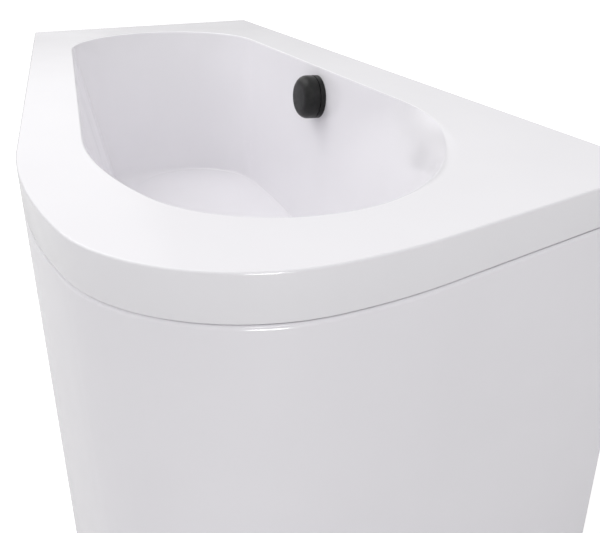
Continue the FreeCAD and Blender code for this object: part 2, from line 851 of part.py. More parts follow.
# Leg rails, their screws, nuts and levelling feet
rail_profile = [
    ("-rail_width / 2", "0"),
    ("rail_width / 2", "0"),
    ("rail_width / 2", "rail_sheet"),
    ("rail_sheet - rail_width / 2", "rail_sheet"),
    ("rail_sheet - rail_width / 2", "rail_depth - rail_sheet"),
    ("rail_width / 2", "rail_depth - rail_sheet"),
    ("rail_width / 2", "rail_depth"),
    ("-rail_width / 2", "rail_depth"),
]
rails = {
    "foot": foot_x + value("foot_rail_setback"),
    "head": head_x - value("head_rail_setback"),
}
stay_lap = value("stay_lap")
stay_sheet = value("stay_sheet")
rail_screw_heads = []
stay_screw_heads = []
stud_points = {}
stays = []
for side, rail_x in rails.items():
    panel_y = room_side_y(rail_x)
    rail_front = panel_y + value("rail_front_gap")
    rail_length = wall_y - value("rail_wall_gap") - rail_front
    half = rail_length / 2
    middle = Vector(rail_x, rail_front + half, rail_under)
    feet = half - value("foot_inset_on_rail")
    rail = padded(side + "_rail_blank", rail_profile, rail_length, Placement(middle, Rotation()))
    stud_points[side + "_front"] = middle - Vector(0, feet, 0)
    stud_points[side + "_wall"] = middle + Vector(0, feet, 0)
    reach = rail_length * value("rail_screw_share")
    top_sheet = Vector(0, 0, value("rail_depth") - value("rail_sheet"))
    heads = [middle + top_sheet - Vector(0, reach, 0), middle + top_sheet + Vector(0, reach, 0)]
    rail_screw_heads += heads
    lap_head = Vector(rail_x, rail_front + stay_lap / 2, rail_under - stay_sheet)
    tools = drills(side + "_rail_drill", heads + [lap_head])
    for end in ("front", "wall"):
        spot = stud_points["%s_%s" % (side, end)] - Vector(0, 0, overrun)
        tools.append(
            cylinder(
                "%s_%s_stud_hole" % (side, end),
                "stud_diameter / 2 + stud_hole_gap",
                "cut_overrun + rail_sheet * 2",
                Placement(spot, Rotation()),
            )
        )
    node(side + "_rail", cut(side + "_rail", rail, tools))
    # Stay from the rail's front end down to the panel's foot return
    drop_y = panel_y + foot_in
    toe_z = panel_foot + sheet_in
    lap_y = rail_front + stay_lap
    toe_y = drop_y - value("stay_toe")
    stay_points = [
        (lap_y, rail_under),
        (drop_y, rail_under),
        (drop_y, toe_z + stay_sheet),
        (toe_y, toe_z + stay_sheet),
        (toe_y, toe_z),
        (drop_y + stay_sheet, toe_z),
        (drop_y + stay_sheet, rail_under - stay_sheet),
        (lap_y, rail_under - stay_sheet),
    ]
    stay_x = rail_x - value("stay_width") / 2
    stay_face = Part.Face(polygon_wire([Vector(stay_x, y, z) for y, z in stay_points]))
    stays.append(stay_face.extrude(Vector(value("stay_width"), 0, 0)))
    stay_screw_heads += [lap_head, Vector(rail_x, drop_y - value("stay_toe") / 2, panel_foot)]

node("base_board", cut("base_board", board, [board_hole] + drills("board_drill", rail_screw_heads)))
node("rail_screws", copies("rail_screws", screw, upright(rail_screw_heads)))
stay_group = feature("stay_group", Part.makeCompound(stays))
node("panel_stays", cut("panel_stays", stay_group, drills("stay_drill", stay_screw_heads)))
node("stay_screws", copies("stay_screws", screw, upright(stay_screw_heads)))
node("apron_panel", cut("apron_panel", panel_blank, drills("panel_drill", stay_screw_heads[1::2])))

stud_top = rail_under + value("rail_sheet") + value("nut_height") + value("stud_free_end")
stud_length = stud_top - value("pad_web")
stud_profile = [
    ("0", "0"),
    ("stud_diameter / 2 - stud_chamfer", "0"),
    ("stud_diameter / 2", "stud_chamfer"),
    ("stud_diameter / 2", "%r - stud_chamfer" % stud_length),
    ("stud_diameter / 2 - stud_chamfer", "%r" % stud_length),
    ("0", "%r" % stud_length),
]
pad_profile = [
    ("0", "0"),
    ("pad_diameter / 2", "0"),
    ("pad_diameter / 2", "pad_brim"),
    ("pad_neck_diameter / 2", "pad_shoulder"),
    ("pad_neck_diameter / 2", "pad_height"),
    ("stud_diameter / 2", "pad_height"),
    ("stud_diameter / 2", "pad_web"),
    ("0", "pad_web"),
]
for place, point in stud_points.items():
    ground = Vector(point.x, point.y, 0)
    stud_seat = Placement(ground + Vector(0, 0, value("pad_web")), Rotation())
    node(place + "_stud", turned(place + "_stud", stud_profile, stud_seat))
    node(place + "_pad", turned(place + "_pad", pad_profile, Placement(ground, Rotation())))

hexagon = fit(doc.addObject("Part::Prism", "nut_hexagon"), Height="nut_height")
hexagon.Polygon = 6
fit(hexagon, Circumradius="nut_across_flats / 2 / cos(30)")
nut_bore = cylinder("nut_bore", "stud_diameter / 2 + thread_gap", "nut_height")
doc.recompute()
nut = cut("nut", hexagon, [nut_bore])
nut_places = []
for point in stud_points.values():
    nut_places.append(point - Vector(0, 0, value("nut_height")))
    nut_places.append(point + Vector(0, 0, value("rail_sheet")))
node("lock_nuts", copies("lock_nuts", nut, upright(nut_places)))

# Overflow housing behind the rear wall, with a spigot that points straight down
cup_front = -(through_wall + value("overflow_gasket_sheet"))
cup_middle = cup_front - value("cup_depth") / 2
cup_centre = on_overflow(cup_middle).Base
spigot_end = cup_centre.z - value("spigot_reach")
pipe_point = Vector(waste_x, cup_centre.y, 0)
socket = "pipe_diameter / 2 + pipe_fit_gap + socket_wall"
socket_bore = "pipe_diameter / 2 + pipe_fit_gap"
cup_outside = turned(
    "cup_outside",
    [
        ("0", "0"),
        ("cup_flange_diameter / 2", "0"),
        ("cup_flange_diameter / 2", "-cup_flange"),
        ("cup_diameter / 2", "-cup_flange"),
        ("cup_diameter / 2", "-cup_depth"),
        ("0", "-cup_depth"),
    ],
    on_overflow(cup_front),
)
spigot_frame = Placement(Vector(pipe_point.x, pipe_point.y, spigot_end), Rotation())
spigot_outside = cylinder("spigot_outside", socket, "spigot_reach", spigot_frame)
spigot_inside = cylinder("spigot_inside", socket_bore, "spigot_reach", spigot_frame)
cup_inside = cylinder(
    "cup_inside",
    "cup_diameter / 2 - cup_wall",
    "cup_depth - cup_wall + cut_overrun",
    on_overflow(cup_front - value("cup_depth") + value("cup_wall")),
)
# Gland for the control cable on the housing's side
gland_turn = Placement(Vector(0, 0, 0), Rotation(Vector(0, 1, 0), 90))
gland_frame = on_overflow(cup_middle).multiply(gland_turn)
gland_outside = cylinder(
    "gland_outside", "gland_diameter / 2", "cup_diameter / 2 + gland_reach", gland_frame
)
gland_inside = cylinder(
    "gland_inside", "gland_bore / 2", "cup_diameter / 2 + gland_reach", gland_frame
)
cup_blank = fused("cup_blank", [cup_outside, spigot_outside, gland_outside])
node("overflow_body", cut("overflow_body", cup_blank, [cup_inside, spigot_inside, gland_inside]))
gasket_frame = on_overflow(cup_front)
doc.recompute()
node(
    "overflow_gasket",
    tube(
        "overflow_gasket",
        "overflow_gasket_diameter / 2",
        "overflow_hole / 2",
        "overflow_gasket_sheet",
        gasket_frame,
    ),
)


def spokes(name, count, inner, outer, foot, height, frame):
    """Straight arms from a hub to a sleeve."""
    arms = []
    for index in range(count):
        turn = Placement(Vector(0, 0, 0), Rotation(Vector(0, 0, 1), 360 * index / count))
        start = Placement(Vector(inner, -value("spoke_width") / 2, foot), Rotation())
        place = frame.multiply(turn).multiply(start)
        arms.append(block("%s_%d" % (name, index), outer - inner, "spoke_width", height, place))
    return arms


# Overflow rosette clamped to the housing through the wall, with a hub for the spindle
ring_sleeve = turned(
    "ring_sleeve",
    [
        ("sleeve_diameter / 2 - sleeve_wall", "-ring_sleeve_reach"),
        ("sleeve_diameter / 2", "-ring_sleeve_reach"),
        ("sleeve_diameter / 2", "ring_gap"),
        ("ring_diameter / 2", "ring_gap"),
        ("ring_diameter / 2", "ring_height"),
        ("sleeve_diameter / 2 - sleeve_wall", "ring_height"),
    ],
    overflow_frame,
)
ring_hub = cylinder(
    "ring_hub", "hub_diameter / 2", "hub_back + hub_front", on_overflow(-value("hub_back"))
)
ring_arms = spokes(
    "ring_arm",
    3,
    value("hub_diameter / 2 - spoke_width / 2"),
    value("sleeve_diameter / 2 - sleeve_wall / 2"),
    -value("hub_back"),
    "hub_back + hub_front",
    overflow_frame,
)
ring_blank = fused("ring_blank", [ring_sleeve, ring_hub] + ring_arms)
ring_bore = cylinder(
    "ring_bore",
    "spindle_diameter / 2 + spindle_gap",
    "hub_back + hub_front + cut_overrun * 2",
    on_overflow(-value("hub_back") - overrun),
)
node("overflow_ring", cut("overflow_ring", ring_blank, [ring_bore]))

# Control knob: a cup in front of the rosette, its carrier, the spindle and the cable drum
knob_back_z = "ring_height + knob_gap"
knob_face_z = knob_back_z + " + knob_depth"
carrier_z = knob_face_z + " - knob_front"
knob_bore = "knob_diameter / 2 - knob_skirt"
knob = turned(
    "overflow_knob",
    [
        ("0", carrier_z),
        (knob_bore, carrier_z),
        (knob_bore, knob_back_z),
        ("knob_diameter / 2", knob_back_z),
        ("knob_diameter / 2", knob_face_z),
        ("0", knob_face_z),
    ],
    overflow_frame,
)
rounded(knob, "knob_edge_radius", [value(knob_face_z)])
node("overflow_knob", knob)
node(
    "knob_carrier",
    turned(
        "knob_carrier",
        [
            ("spindle_diameter / 2", knob_back_z),
            ("carrier_boss_diameter / 2", knob_back_z),
            ("carrier_boss_diameter / 2", carrier_z + " - carrier_sheet"),
            (knob_bore, carrier_z + " - carrier_sheet"),
            (knob_bore, carrier_z),
            ("spindle_diameter / 2", carrier_z),
        ],
        overflow_frame,
    ),
)
spindle_back = value("spindle_tail") - value("cup_depth") + cup_front
spindle_length = value(carrier_z) - spindle_back
node(
    "knob_spindle",
    cylinder("knob_spindle", "spindle_diameter / 2", spindle_length, on_overflow(spindle_back)),
)
node(
    "cable_drum",
    tube(
        "cable_drum",
        "drum_diameter / 2",
        "spindle_diameter / 2",
        "drum_thickness",
        on_overflow(spindle_back),
    ),
)

# Overflow pipe, elbow and cross pipe to the waste
cross_z = well_under - value("inlet_drop")
bend = value("pipe_bend_radius")
leg = value("pipe_socket_length")
elbow_corner = Vector(pipe_point.x, pipe_point.y, cross_z)
elbow_top = elbow_corner + Vector(0, 0, bend + leg)
elbow_front = elbow_corner - Vector(0, bend + leg, 0)
elbow_path = Part.Wire(
    [
        Part.makeLine(elbow_top, elbow_corner + Vector(0, 0, bend)),
        arc_between(
            elbow_corner + Vector(0, 0, bend),
            elbow_corner - Vector(0, bend, 0),
            elbow_corner + Vector(0, -bend, bend),
        ),
        Part.makeLine(elbow_corner - Vector(0, bend, 0), elbow_front),
    ]
)
elbow_outside = swept("elbow_outside", elbow_path, circle_across(elbow_top, DOWN, value(socket)))
elbow_inside = swept("elbow_inside", elbow_path, circle_across(elbow_top, DOWN, value(socket_bore)))
node("pipe_elbow", cut("pipe_elbow", elbow_outside, [elbow_inside]))

deep = value("socket_depth")
pipe_foot = elbow_top.z - deep
pipe_length = spigot_end + deep - pipe_foot
node(
    "overflow_pipe",
    tube(
        "overflow_pipe",
        "pipe_diameter / 2",
        "pipe_diameter / 2 - pipe_wall",
        pipe_length,
        Placement(Vector(pipe_point.x, pipe_point.y, pipe_foot), Rotation()),
    ),
)
to_wall = Rotation(Vector(1, 0, 0), -90)
to_room = Rotation(Vector(1, 0, 0), 90)
inlet_end = waste_y + value("inlet_reach")
cross_start = inlet_end - deep
node(
    "cross_pipe",
    tube(
        "cross_pipe",
        "pipe_diameter / 2",
        "pipe_diameter / 2 - pipe_wall",
        elbow_front.y + deep - cross_start,
        Placement(Vector(waste_x, cross_start, cross_z), to_wall),
    ),
)


def slip_nut(name, outside, pipe, sleeve, height):
    """Nut whose lip closes on a pipe and whose thread runs on a socket."""
    return turned(
        name,
        [
            (pipe, "-slip_nut_lip"),
            (outside, "-slip_nut_lip"),
            (outside, height + " - slip_nut_lip"),
            (sleeve + " + slip_thread_gap", height + " - slip_nut_lip"),
            (sleeve + " + slip_thread_gap", "0"),
            (pipe, "0"),
        ],
    )


pipe_nut = slip_nut("pipe_nut", "slip_nut_diameter / 2", socket_bore, socket, "slip_nut_height")
pipe_nut_places = [
    Placement(Vector(pipe_point.x, pipe_point.y, spigot_end), Rotation()),
    Placement(elbow_top, Rotation(Vector(1, 0, 0), 180)),
    Placement(elbow_front, to_wall),
    Placement(Vector(waste_x, inlet_end, cross_z), to_room),
]
node("pipe_slip_nuts", copies("pipe_slip_nuts", pipe_nut, pipe_nut_places))

# Waste flange from above, with its gasket and a hub that guides the plug's stem
node(
    "flange_gasket",
    tube(
        "flange_gasket",
        "flange_gasket_diameter / 2",
        "drain_hole / 2",
        "flange_gasket_sheet",
        waste_frame,
    ),
)
flange_seat_z = "flange_gasket_sheet + flange_seat"
flange_sleeve = turned(
    "flange_sleeve",
    [
        ("sleeve_diameter / 2 - sleeve_wall", "-flange_sleeve_reach"),
        ("sleeve_diameter / 2", "-flange_sleeve_reach"),
        ("sleeve_diameter / 2", "flange_gasket_sheet"),
        ("flange_diameter / 2", "flange_gasket_sheet"),
        ("flange_diameter / 2", "flange_gasket_sheet + flange_brim"),
        ("flange_diameter / 2 - flange_lip", "flange_gasket_sheet + flange_brim"),
        ("flange_diameter / 2 - flange_lip", flange_seat_z),
        ("sleeve_diameter / 2 - sleeve_wall", flange_seat_z),
    ],
    waste_frame,
)
flange_hub_height = "flange_hub_foot - flange_hub_top"
flange_hub = cylinder(
    "flange_hub",
    "flange_hub_diameter / 2",
    flange_hub_height,
    waste_frame.multiply(Placement(Vector(0, 0, -value("flange_hub_foot")), Rotation())),
)
flange_arms = spokes(
    "flange_arm",
    4,
    value("flange_hub_diameter / 2 - spoke_width / 3"),
    value("sleeve_diameter / 2 - sleeve_wall / 2"),
    -value("flange_hub_foot"),
    flange_hub_height,
    waste_frame,
)
flange_blank = fused("flange_blank", [flange_sleeve, flange_hub] + flange_arms)
flange_bore = cylinder(
    "flange_bore",
    "spindle_diameter / 2 + spindle_gap",
    "flange_hub_foot + cut_overrun",
    waste_frame.multiply(Placement(Vector(0, 0, -value("flange_hub_foot") - overrun), Rotation())),
)
node("waste_flange", cut("waste_flange", flange_blank, [flange_bore]))

# Waste body under the floor, with the overflow inlet, the lever's lugs and the cable gland
node(
    "body_gasket",
    tube(
        "body_gasket",
        "body_gasket_diameter / 2",
        "drain_hole / 2",
        "body_gasket_sheet",
        body_frame.multiply(Placement(Vector(0, 0, -value("body_gasket_sheet")), Rotation())),
    ),
)
trap_bore = "trap_pipe_diameter / 2 + pipe_fit_gap"
body_shell = turned(
    "body_shell",
    [
        ("body_diameter / 2 - body_wall", "-body_gasket_sheet"),
        ("body_flange_diameter / 2", "-body_gasket_sheet"),
        ("body_flange_diameter / 2", "-body_gasket_sheet - body_flange"),
        ("body_diameter / 2", "-body_gasket_sheet - body_flange"),
        ("body_diameter / 2", "-body_depth"),
        ("outlet_diameter / 2", "-body_depth - body_cone"),
        ("outlet_diameter / 2", "-body_neck_end"),
        (trap_bore, "-body_neck_end"),
        (trap_bore, "-body_depth - body_cone + body_wall"),
        ("body_diameter / 2 - body_wall", "-body_depth + body_wall"),
    ],
    body_frame,
)
inlet_frame = Placement(Vector(waste_x, waste_y, cross_z), to_wall)
inlet_outside = cylinder("inlet_outside", socket, "inlet_reach", inlet_frame)
inlet_inside = cylinder("inlet_inside", socket_bore, "inlet_reach", inlet_frame)
body_inside_height = "body_depth - body_wall - body_gasket_sheet"
body_inside = cylinder(
    "body_inside",
    "body_diameter / 2 - body_wall",
    body_inside_height,
    body_frame.multiply(Placement(Vector(0, 0, -value("body_depth - body_wall")), Rotation())),
)
stem_foot = well_top - value("stem_reach")
pivot = Vector(
    waste_x - value("lever_arm"),
    waste_y,
    stem_foot - value("lever_gap") - value("lever_thickness") / 2,
)
lug_out = value("body_diameter / 2 - body_wall / 2 - lever_arm")
lug_in = value("lever_eye_radius")
lug_half = value("lug_half_height")
lug_side = value("lever_width") / 2 + value("lug_gap")
lugs = []
for index, start in enumerate((lug_side, -lug_side - value("lug_sheet"))):
    corner = pivot + Vector(-lug_out, start, -lug_half)
    lug_place = Placement(corner, Rotation())
    lugs.append(block("lug_%d" % index, lug_out + lug_in, "lug_sheet", "lug_half_height * 2", lug_place))
waste_gland_frame = Placement(
    Vector(waste_x, waste_y, pivot.z), Rotation(Vector(0, 1, 0), -90)
)
waste_gland_outside = cylinder(
    "waste_gland_outside", "gland_diameter / 2", "body_diameter / 2 + gland_reach", waste_gland_frame
)
waste_gland_inside = cylinder(
    "waste_gland_inside", "gland_bore / 2", "body_diameter / 2 + gland_reach", waste_gland_frame
)
inlet_blank = fused("inlet_blank", [body_shell, inlet_outside, waste_gland_outside])
inlet_open = cut("inlet_open", inlet_blank, [body_inside, inlet_inside, waste_gland_inside])
lug_blank = fused("lug_blank", [inlet_open] + lugs)
lug_span = lug_side + value("lug_sheet")
pin_frame = Placement(pivot - Vector(0, lug_span, 0), to_wall)
pin_hole = cylinder("pin_hole", "lever_pin_diameter / 2", lug_span * 2, pin_frame)
node("waste_body", cut("waste_body", lug_blank, [pin_hole]))
node("lever_pin", cylinder("lever_pin", "lever_pin_diameter / 2", lug_span * 2, pin_frame))

# Lift lever under the plug's stem
lever_side = Vector(0, value("lever_width") / 2, 0)
lever_bar = block(
    "lever_bar",
    "lever_arm + lever_tip",
    "lever_width",
    "lever_thickness",
    Placement(pivot - lever_side - Vector(0, 0, value("lever_thickness") / 2), Rotation()),
)
lever_eye = cylinder("lever_eye", "lever_eye_radius", "lever_width", Placement(pivot - lever_side, to_wall))
lever_hole = cylinder(
    "lever_hole",
    "lever_pin_diameter / 2 + lever_pin_gap",
    "lever_width",
    Placement(pivot - lever_side, to_wall),
)
node("lift_lever", cut("lift_lever", fused("lever_blank", [lever_bar, lever_eye]), [lever_hole]))

# Pop-up plug: cap, seal ring and guided stem
seal_foot = flange_seat_z + " + seal_gap"
cap_foot = seal_foot + " + seal_sheet"
node(
    "plug_seal",
    tube(
        "plug_seal",
        "seal_diameter / 2",
        "seal_bore / 2",
        "seal_sheet",
        waste_frame.multiply(Placement(Vector(0, 0, value(seal_foot)), Rotation())),
    ),
)
node(
    "plug_cap",
    turned(
        "plug_cap",
        [
            ("0", cap_foot),
            ("plug_diameter / 2", cap_foot),
            ("plug_diameter / 2", cap_foot + " + plug_thickness"),
            ("seal_bore / 2", cap_foot + " + plug_thickness + plug_crown"),
            ("0", cap_foot + " + plug_thickness + plug_crown"),
        ],
        waste_frame,
    ),
)
node(
    "plug_stem",
    turned(
        "plug_stem",
        [
            ("0", "-stem_reach"),
            ("stem_tip_radius", "-stem_reach"),
            ("spindle_diameter / 2", "stem_tip_radius * 2 - stem_reach"),
            ("spindle_diameter / 2", cap_foot),
            ("0", cap_foot),
        ],
        waste_frame,
    ),
)

# Trap bend and outlet elbow with the spigot for the house drain
neck_end = well_under - value("body_neck_end")
trap_top = Vector(waste_x, waste_y, neck_end + deep)
trap_centre = Vector(waste_x - value("trap_bend_radius"), waste_y, neck_end - value("trap_drop"))
trap_in = Vector(waste_x, waste_y, trap_centre.z)
trap_out = trap_in - Vector(2 * value("trap_bend_radius"), 0, 0)
trap_low = trap_centre - Vector(0, 0, value("trap_bend_radius"))
trap_end = trap_out + Vector(0, 0, value("trap_rise"))
trap_path = Part.Wire(
    [
        Part.makeLine(trap_top, trap_in),
        Part.Arc(trap_in, trap_low, trap_out).toShape(),
        Part.makeLine(trap_out, trap_end),
    ]
)
trap_outside = swept(
    "trap_outside",
    trap_path,
    circle_across(trap_top, DOWN, value("trap_pipe_diameter / 2")),
)
trap_inside = swept(
    "trap_inside",
    trap_path,
    circle_across(trap_top, DOWN, value("trap_pipe_diameter / 2 - trap_pipe_wall")),
)
node("trap_bend", cut("trap_bend", trap_outside, [trap_inside]))

outlet_foot = trap_end - Vector(0, 0, deep)
outlet_bend = value("outlet_bend_radius")
outlet_turn = outlet_foot + Vector(0, 0, value("outlet_leg"))
outlet_level = outlet_turn + Vector(-outlet_bend, 0, outlet_bend)
outlet_end = outlet_level - Vector(value("outlet_spigot"), 0, 0)
outlet_path = Part.Wire(
    [
        Part.makeLine(outlet_foot, outlet_turn),
        arc_between(outlet_turn, outlet_level, outlet_turn - Vector(outlet_bend, 0, 0)),
        Part.makeLine(outlet_level, outlet_end),
    ]
)
outlet_outside = swept(
    "outlet_outside",
    outlet_path,
    circle_across(outlet_foot, UP, value("outlet_diameter / 2")),
)
outlet_inside = swept("outlet_inside", outlet_path, circle_across(outlet_foot, UP, value(trap_bore)))
node("outlet_elbow", cut("outlet_elbow", outlet_outside, [outlet_inside]))
trap_nut = slip_nut("trap_nut", "trap_nut_diameter / 2", trap_bore, "outlet_diameter / 2", "trap_nut_height")
trap_nut_points = [Vector(waste_x, waste_y, neck_end), outlet_foot]
node("trap_slip_nuts", copies("trap_slip_nuts", trap_nut, upright(trap_nut_points)))


os.makedirs("parts", exist_ok=True)
doc.recompute()
for item in doc.Objects:
    if "Invalid" in item.State or "Error" in item.State:
        raise RuntimeError("%s failed: %s" % (item.Name, item.State))
for label, item in NODES:
    shape = item.Shape
    if shape.isNull() or not shape.isValid() or not shape.Solids:
        raise RuntimeError(label + " has no valid solid")
    shape.exportStep(os.path.join("parts", label + ".step"))
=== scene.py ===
"""Looks of an asymmetric bathtub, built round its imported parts. Lengths are in metres."""

import json
import logging
import math
from dataclasses import dataclass, field
from enum import Enum, IntEnum

import bmesh
import bpy
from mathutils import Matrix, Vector


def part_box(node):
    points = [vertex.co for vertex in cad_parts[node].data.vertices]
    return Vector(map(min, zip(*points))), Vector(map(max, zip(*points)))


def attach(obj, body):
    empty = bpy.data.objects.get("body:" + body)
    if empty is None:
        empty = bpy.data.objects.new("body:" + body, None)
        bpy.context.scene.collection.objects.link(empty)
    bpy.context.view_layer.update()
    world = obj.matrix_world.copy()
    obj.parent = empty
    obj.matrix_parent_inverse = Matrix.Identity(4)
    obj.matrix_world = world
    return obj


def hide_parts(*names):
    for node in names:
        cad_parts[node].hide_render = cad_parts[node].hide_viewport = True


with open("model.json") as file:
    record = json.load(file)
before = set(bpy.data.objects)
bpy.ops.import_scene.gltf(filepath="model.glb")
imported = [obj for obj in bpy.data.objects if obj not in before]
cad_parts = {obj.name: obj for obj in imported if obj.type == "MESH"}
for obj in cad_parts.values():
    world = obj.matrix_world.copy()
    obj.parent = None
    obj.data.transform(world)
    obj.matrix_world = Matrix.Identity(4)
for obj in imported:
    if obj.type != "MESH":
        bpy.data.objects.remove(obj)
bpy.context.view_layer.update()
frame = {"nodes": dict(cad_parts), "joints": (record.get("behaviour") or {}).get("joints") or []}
log = logging.getLogger("bathtub")

Triple = tuple[float, float, float]
Colour = Triple
Span = tuple[float, float]
Face = tuple[int, ...]

# Below this an angle or a cross product counts as nothing.
TINY = 1e-9
# Leeway at the ends of an outline's edge.
SLACK = 1e-4
# Degrees from which an edge of a mesh is crisp.
CREASE = 35.0
# Share of the basin's depth over which the slope of its wall is taken.
PROBE = 0.02
# How far the middle of a small rounding lies off its sides, as a share of its radius.
BELLY = 0.3
# Where most of a cloudy pattern lies, for its gloss and for its tones.
GLOSS_SPAN: Span = (0.33, 0.67)
TONE_SPAN: Span = (0.35, 0.65)
UPWARD = Vector((0.0, 0.0, 1.0))


class Side(IntEnum):
    """Edges of the basin, in the order in which they are traced."""

    REAR = 0
    FOOT = 1
    FRONT = 2
    BOW = 3
    EGG = 4
    BACK = 5


def mix(span: Span, share: float) -> float:
    """Value at a share of the way from the first of a span to the second."""
    return span[0] + (span[1] - span[0]) * share


class Shading:
    """Node tree of one material, with short ways to add nodes and join them."""

    def __init__(self, name: str) -> None:
        """Start a material with one surface shader.

        Args:
            name: Name of the material.
        """
        self.material = bpy.data.materials.new(name)
        self.material.use_nodes = True
        tree = self.material.node_tree
        self.nodes = tree.nodes
        self.links = tree.links
        self.nodes.clear()
        self.surface = self.nodes.new("ShaderNodeBsdfPrincipled")
        output = self.nodes.new("ShaderNodeOutputMaterial")
        self.links.new(self.surface.outputs["BSDF"], output.inputs["Surface"])
        self.place = self.nodes.new("ShaderNodeTexCoord").outputs["Object"]

    def stretched(self, stretch: Triple) -> bpy.types.NodeSocket:
        """Coordinates squeezed along the axes.

        Args:
            stretch: How many times finer a pattern gets along X, Y and Z.

        Returns:
            The socket that holds the squeezed coordinates.
        """
        mapping = self.nodes.new("ShaderNodeMapping")
        mapping.inputs["Scale"].default_value = stretch
        self.links.new(self.place, mapping.inputs["Vector"])
        return mapping.outputs["Vector"]

    def noise(
        self, scale: float, detail: float = 2.0, stretch: Triple | None = None
    ) -> bpy.types.NodeSocket:
        """Cloudy pattern.

        Args:
            scale: Clouds to the metre.
            detail: How many finer layers it has.
            stretch: Squeeze along the axes, if any.

        Returns:
            The socket that holds a factor around a half.
        """
        cloud = self.nodes.new("ShaderNodeTexNoise")
        cloud.inputs["Scale"].default_value = scale
        cloud.inputs["Detail"].default_value = detail
        source = self.stretched(stretch) if stretch else self.place
        self.links.new(source, cloud.inputs["Vector"])
        return cloud.outputs["Fac"]

    def cells(self, scale: float, stretch: Triple | None = None) -> bpy.types.ShaderNode:
        """Cell pattern, as in chips or crystals.

        Args:
            scale: Cells to the metre.
            stretch: Squeeze along the axes, if any.

        Returns:
            The pattern's node, with its distance and its colour.
        """
        pattern = self.nodes.new("ShaderNodeTexVoronoi")
        pattern.inputs["Scale"].default_value = scale
        source = self.stretched(stretch) if stretch else self.place
        self.links.new(source, pattern.inputs["Vector"])
        return pattern

    def speckle(
        self, scale: float, channel: str, stretch: Triple | None = None
    ) -> bpy.types.NodeSocket:
        """Cell pattern in which every cell has one value of its own.

        Args:
            scale: Cells to the metre.
            channel: Which channel of the cells' random colours is taken.
            stretch: Squeeze along the axes, if any.

        Returns:
            The socket that holds the value.
        """
        pattern = self.cells(scale, stretch)
        split = self.nodes.new("ShaderNodeSeparateColor")
        self.links.new(pattern.outputs["Color"], split.inputs["Color"])
        return split.outputs[channel]

    def tones(self, factor: bpy.types.NodeSocket, stops: list[tuple[float, Colour]]) -> None:
        """Colour the surface through a ramp.

        Args:
            factor: What the ramp follows.
            stops: Places on the ramp with their colours.
        """
        ramp = self.nodes.new("ShaderNodeValToRGB")
        band = ramp.color_ramp
        while len(band.elements) < len(stops):
            band.elements.new(1.0)
        for stop, (where, colour) in zip(band.elements, stops):
            stop.position = where
            stop.color = (*colour, 1.0)
        self.links.new(factor, ramp.inputs["Fac"])
        self.links.new(ramp.outputs["Color"], self.surface.inputs["Base Color"])

    def gloss(self, factor: bpy.types.NodeSocket, span: Span) -> None:
        """Let the roughness follow a pattern.

        Args:
            factor: The pattern, around a half.
            span: Roughness at a third and at two thirds of the pattern.
        """
        reach = self.nodes.new("ShaderNodeMapRange")
        for end, share, rough in zip(("Min", "Max"), GLOSS_SPAN, span):
            reach.inputs["From " + end].default_value = share
            reach.inputs["To " + end].default_value = rough
        self.links.new(factor, reach.inputs["Value"])
        self.links.new(reach.outputs["Result"], self.surface.inputs["Roughness"])

    def relief(self, height: bpy.types.NodeSocket, depth: float) -> None:
        """Raise the surface a little by a pattern.

        Args:
            height: The pattern.
            depth: Height of its full range.
        """
        bump = self.nodes.new("ShaderNodeBump")
        bump.inputs["Strength"].default_value = 1.0
        bump.inputs["Distance"].default_value = depth
        self.links.new(height, bump.inputs["Height"])
        self.links.new(bump.outputs["Normal"], self.surface.inputs["Normal"])


@dataclass(frozen=True)
class Finish:
    """Moulded or coated surface whose tone, gloss and level vary a little.

    Attributes:
        name: Name of the material.
        dark: Colour in the pattern's low places.
        light: Colour in its high places.
        tone_scale: Clouds of colour to the metre.
        rough: Lowest and highest roughness.
        rough_scale: Clouds of gloss to the metre.
        depth: Height of the surface's waves or grain.
        grain_scale: Waves or grains to the metre.
        metallic: One for bare metal.
        shine: Strength of the mirror part, a half for plain plastic.
    """

    name: str
    dark: Colour
    light: Colour
    tone_scale: float
    rough: Span
    rough_scale: float
    depth: float
    grain_scale: float
    metallic: float = 0.0
    shine: float = 0.5

    def colour(self, shading: Shading) -> None:
        """Cloud the two colours into each other."""
        stops = list(zip(TONE_SPAN, (self.dark, self.light)))
        shading.tones(shading.noise(self.tone_scale), stops)

    def level(self, shading: Shading) -> None:
        """Give the surface its waves or grain."""
        shading.relief(shading.noise(self.grain_scale, detail=0.0), self.depth)

    def material(self) -> bpy.types.Material:
        """Make the material.

        Returns:
            The material with its patterns.
        """
        shading = Shading(self.name)
        shading.surface.inputs["Metallic"].default_value = self.metallic
        shading.surface.inputs["Specular IOR Level"].default_value = self.shine
        self.colour(shading)
        shading.gloss(shading.noise(self.rough_scale, detail=3.0), self.rough)
        self.level(shading)
        return shading.material


@dataclass(frozen=True)
class Chipboard(Finish):
    """Board of pressed chips under sealing resin.

    Attributes:
        chip: How many times finer the chips are along X, Y and Z.
        spread: Values of a chip at which it is darkest and lightest.
    """

    chip: Triple = (1.0, 0.4, 1.0)
    spread: Span = (0.1, 0.9)

    def colour(self, shading: Shading) -> None:
        """Give every chip a tone of its own."""
        chips = shading.speckle(self.tone_scale, "Red", self.chip)
        shading.tones(chips, list(zip(self.spread, (self.dark, self.light))))

    def level(self, shading: Shading) -> None:
        """Round every chip's edge down a little."""
        chips = shading.cells(self.grain_scale, self.chip)
        shading.relief(chips.outputs["Distance"], -self.depth)


@dataclass(frozen=True)
class SpangledZinc(Finish):
    """Sheet with the crystal pattern of hot-dip zinc."""

    def colour(self, shading: Shading) -> None:
        """Give every crystal a tone of its own."""
        crystals = shading.speckle(self.tone_scale, "Green")
        shading.tones(crystals, [(0.0, self.dark), (1.0, self.light)])


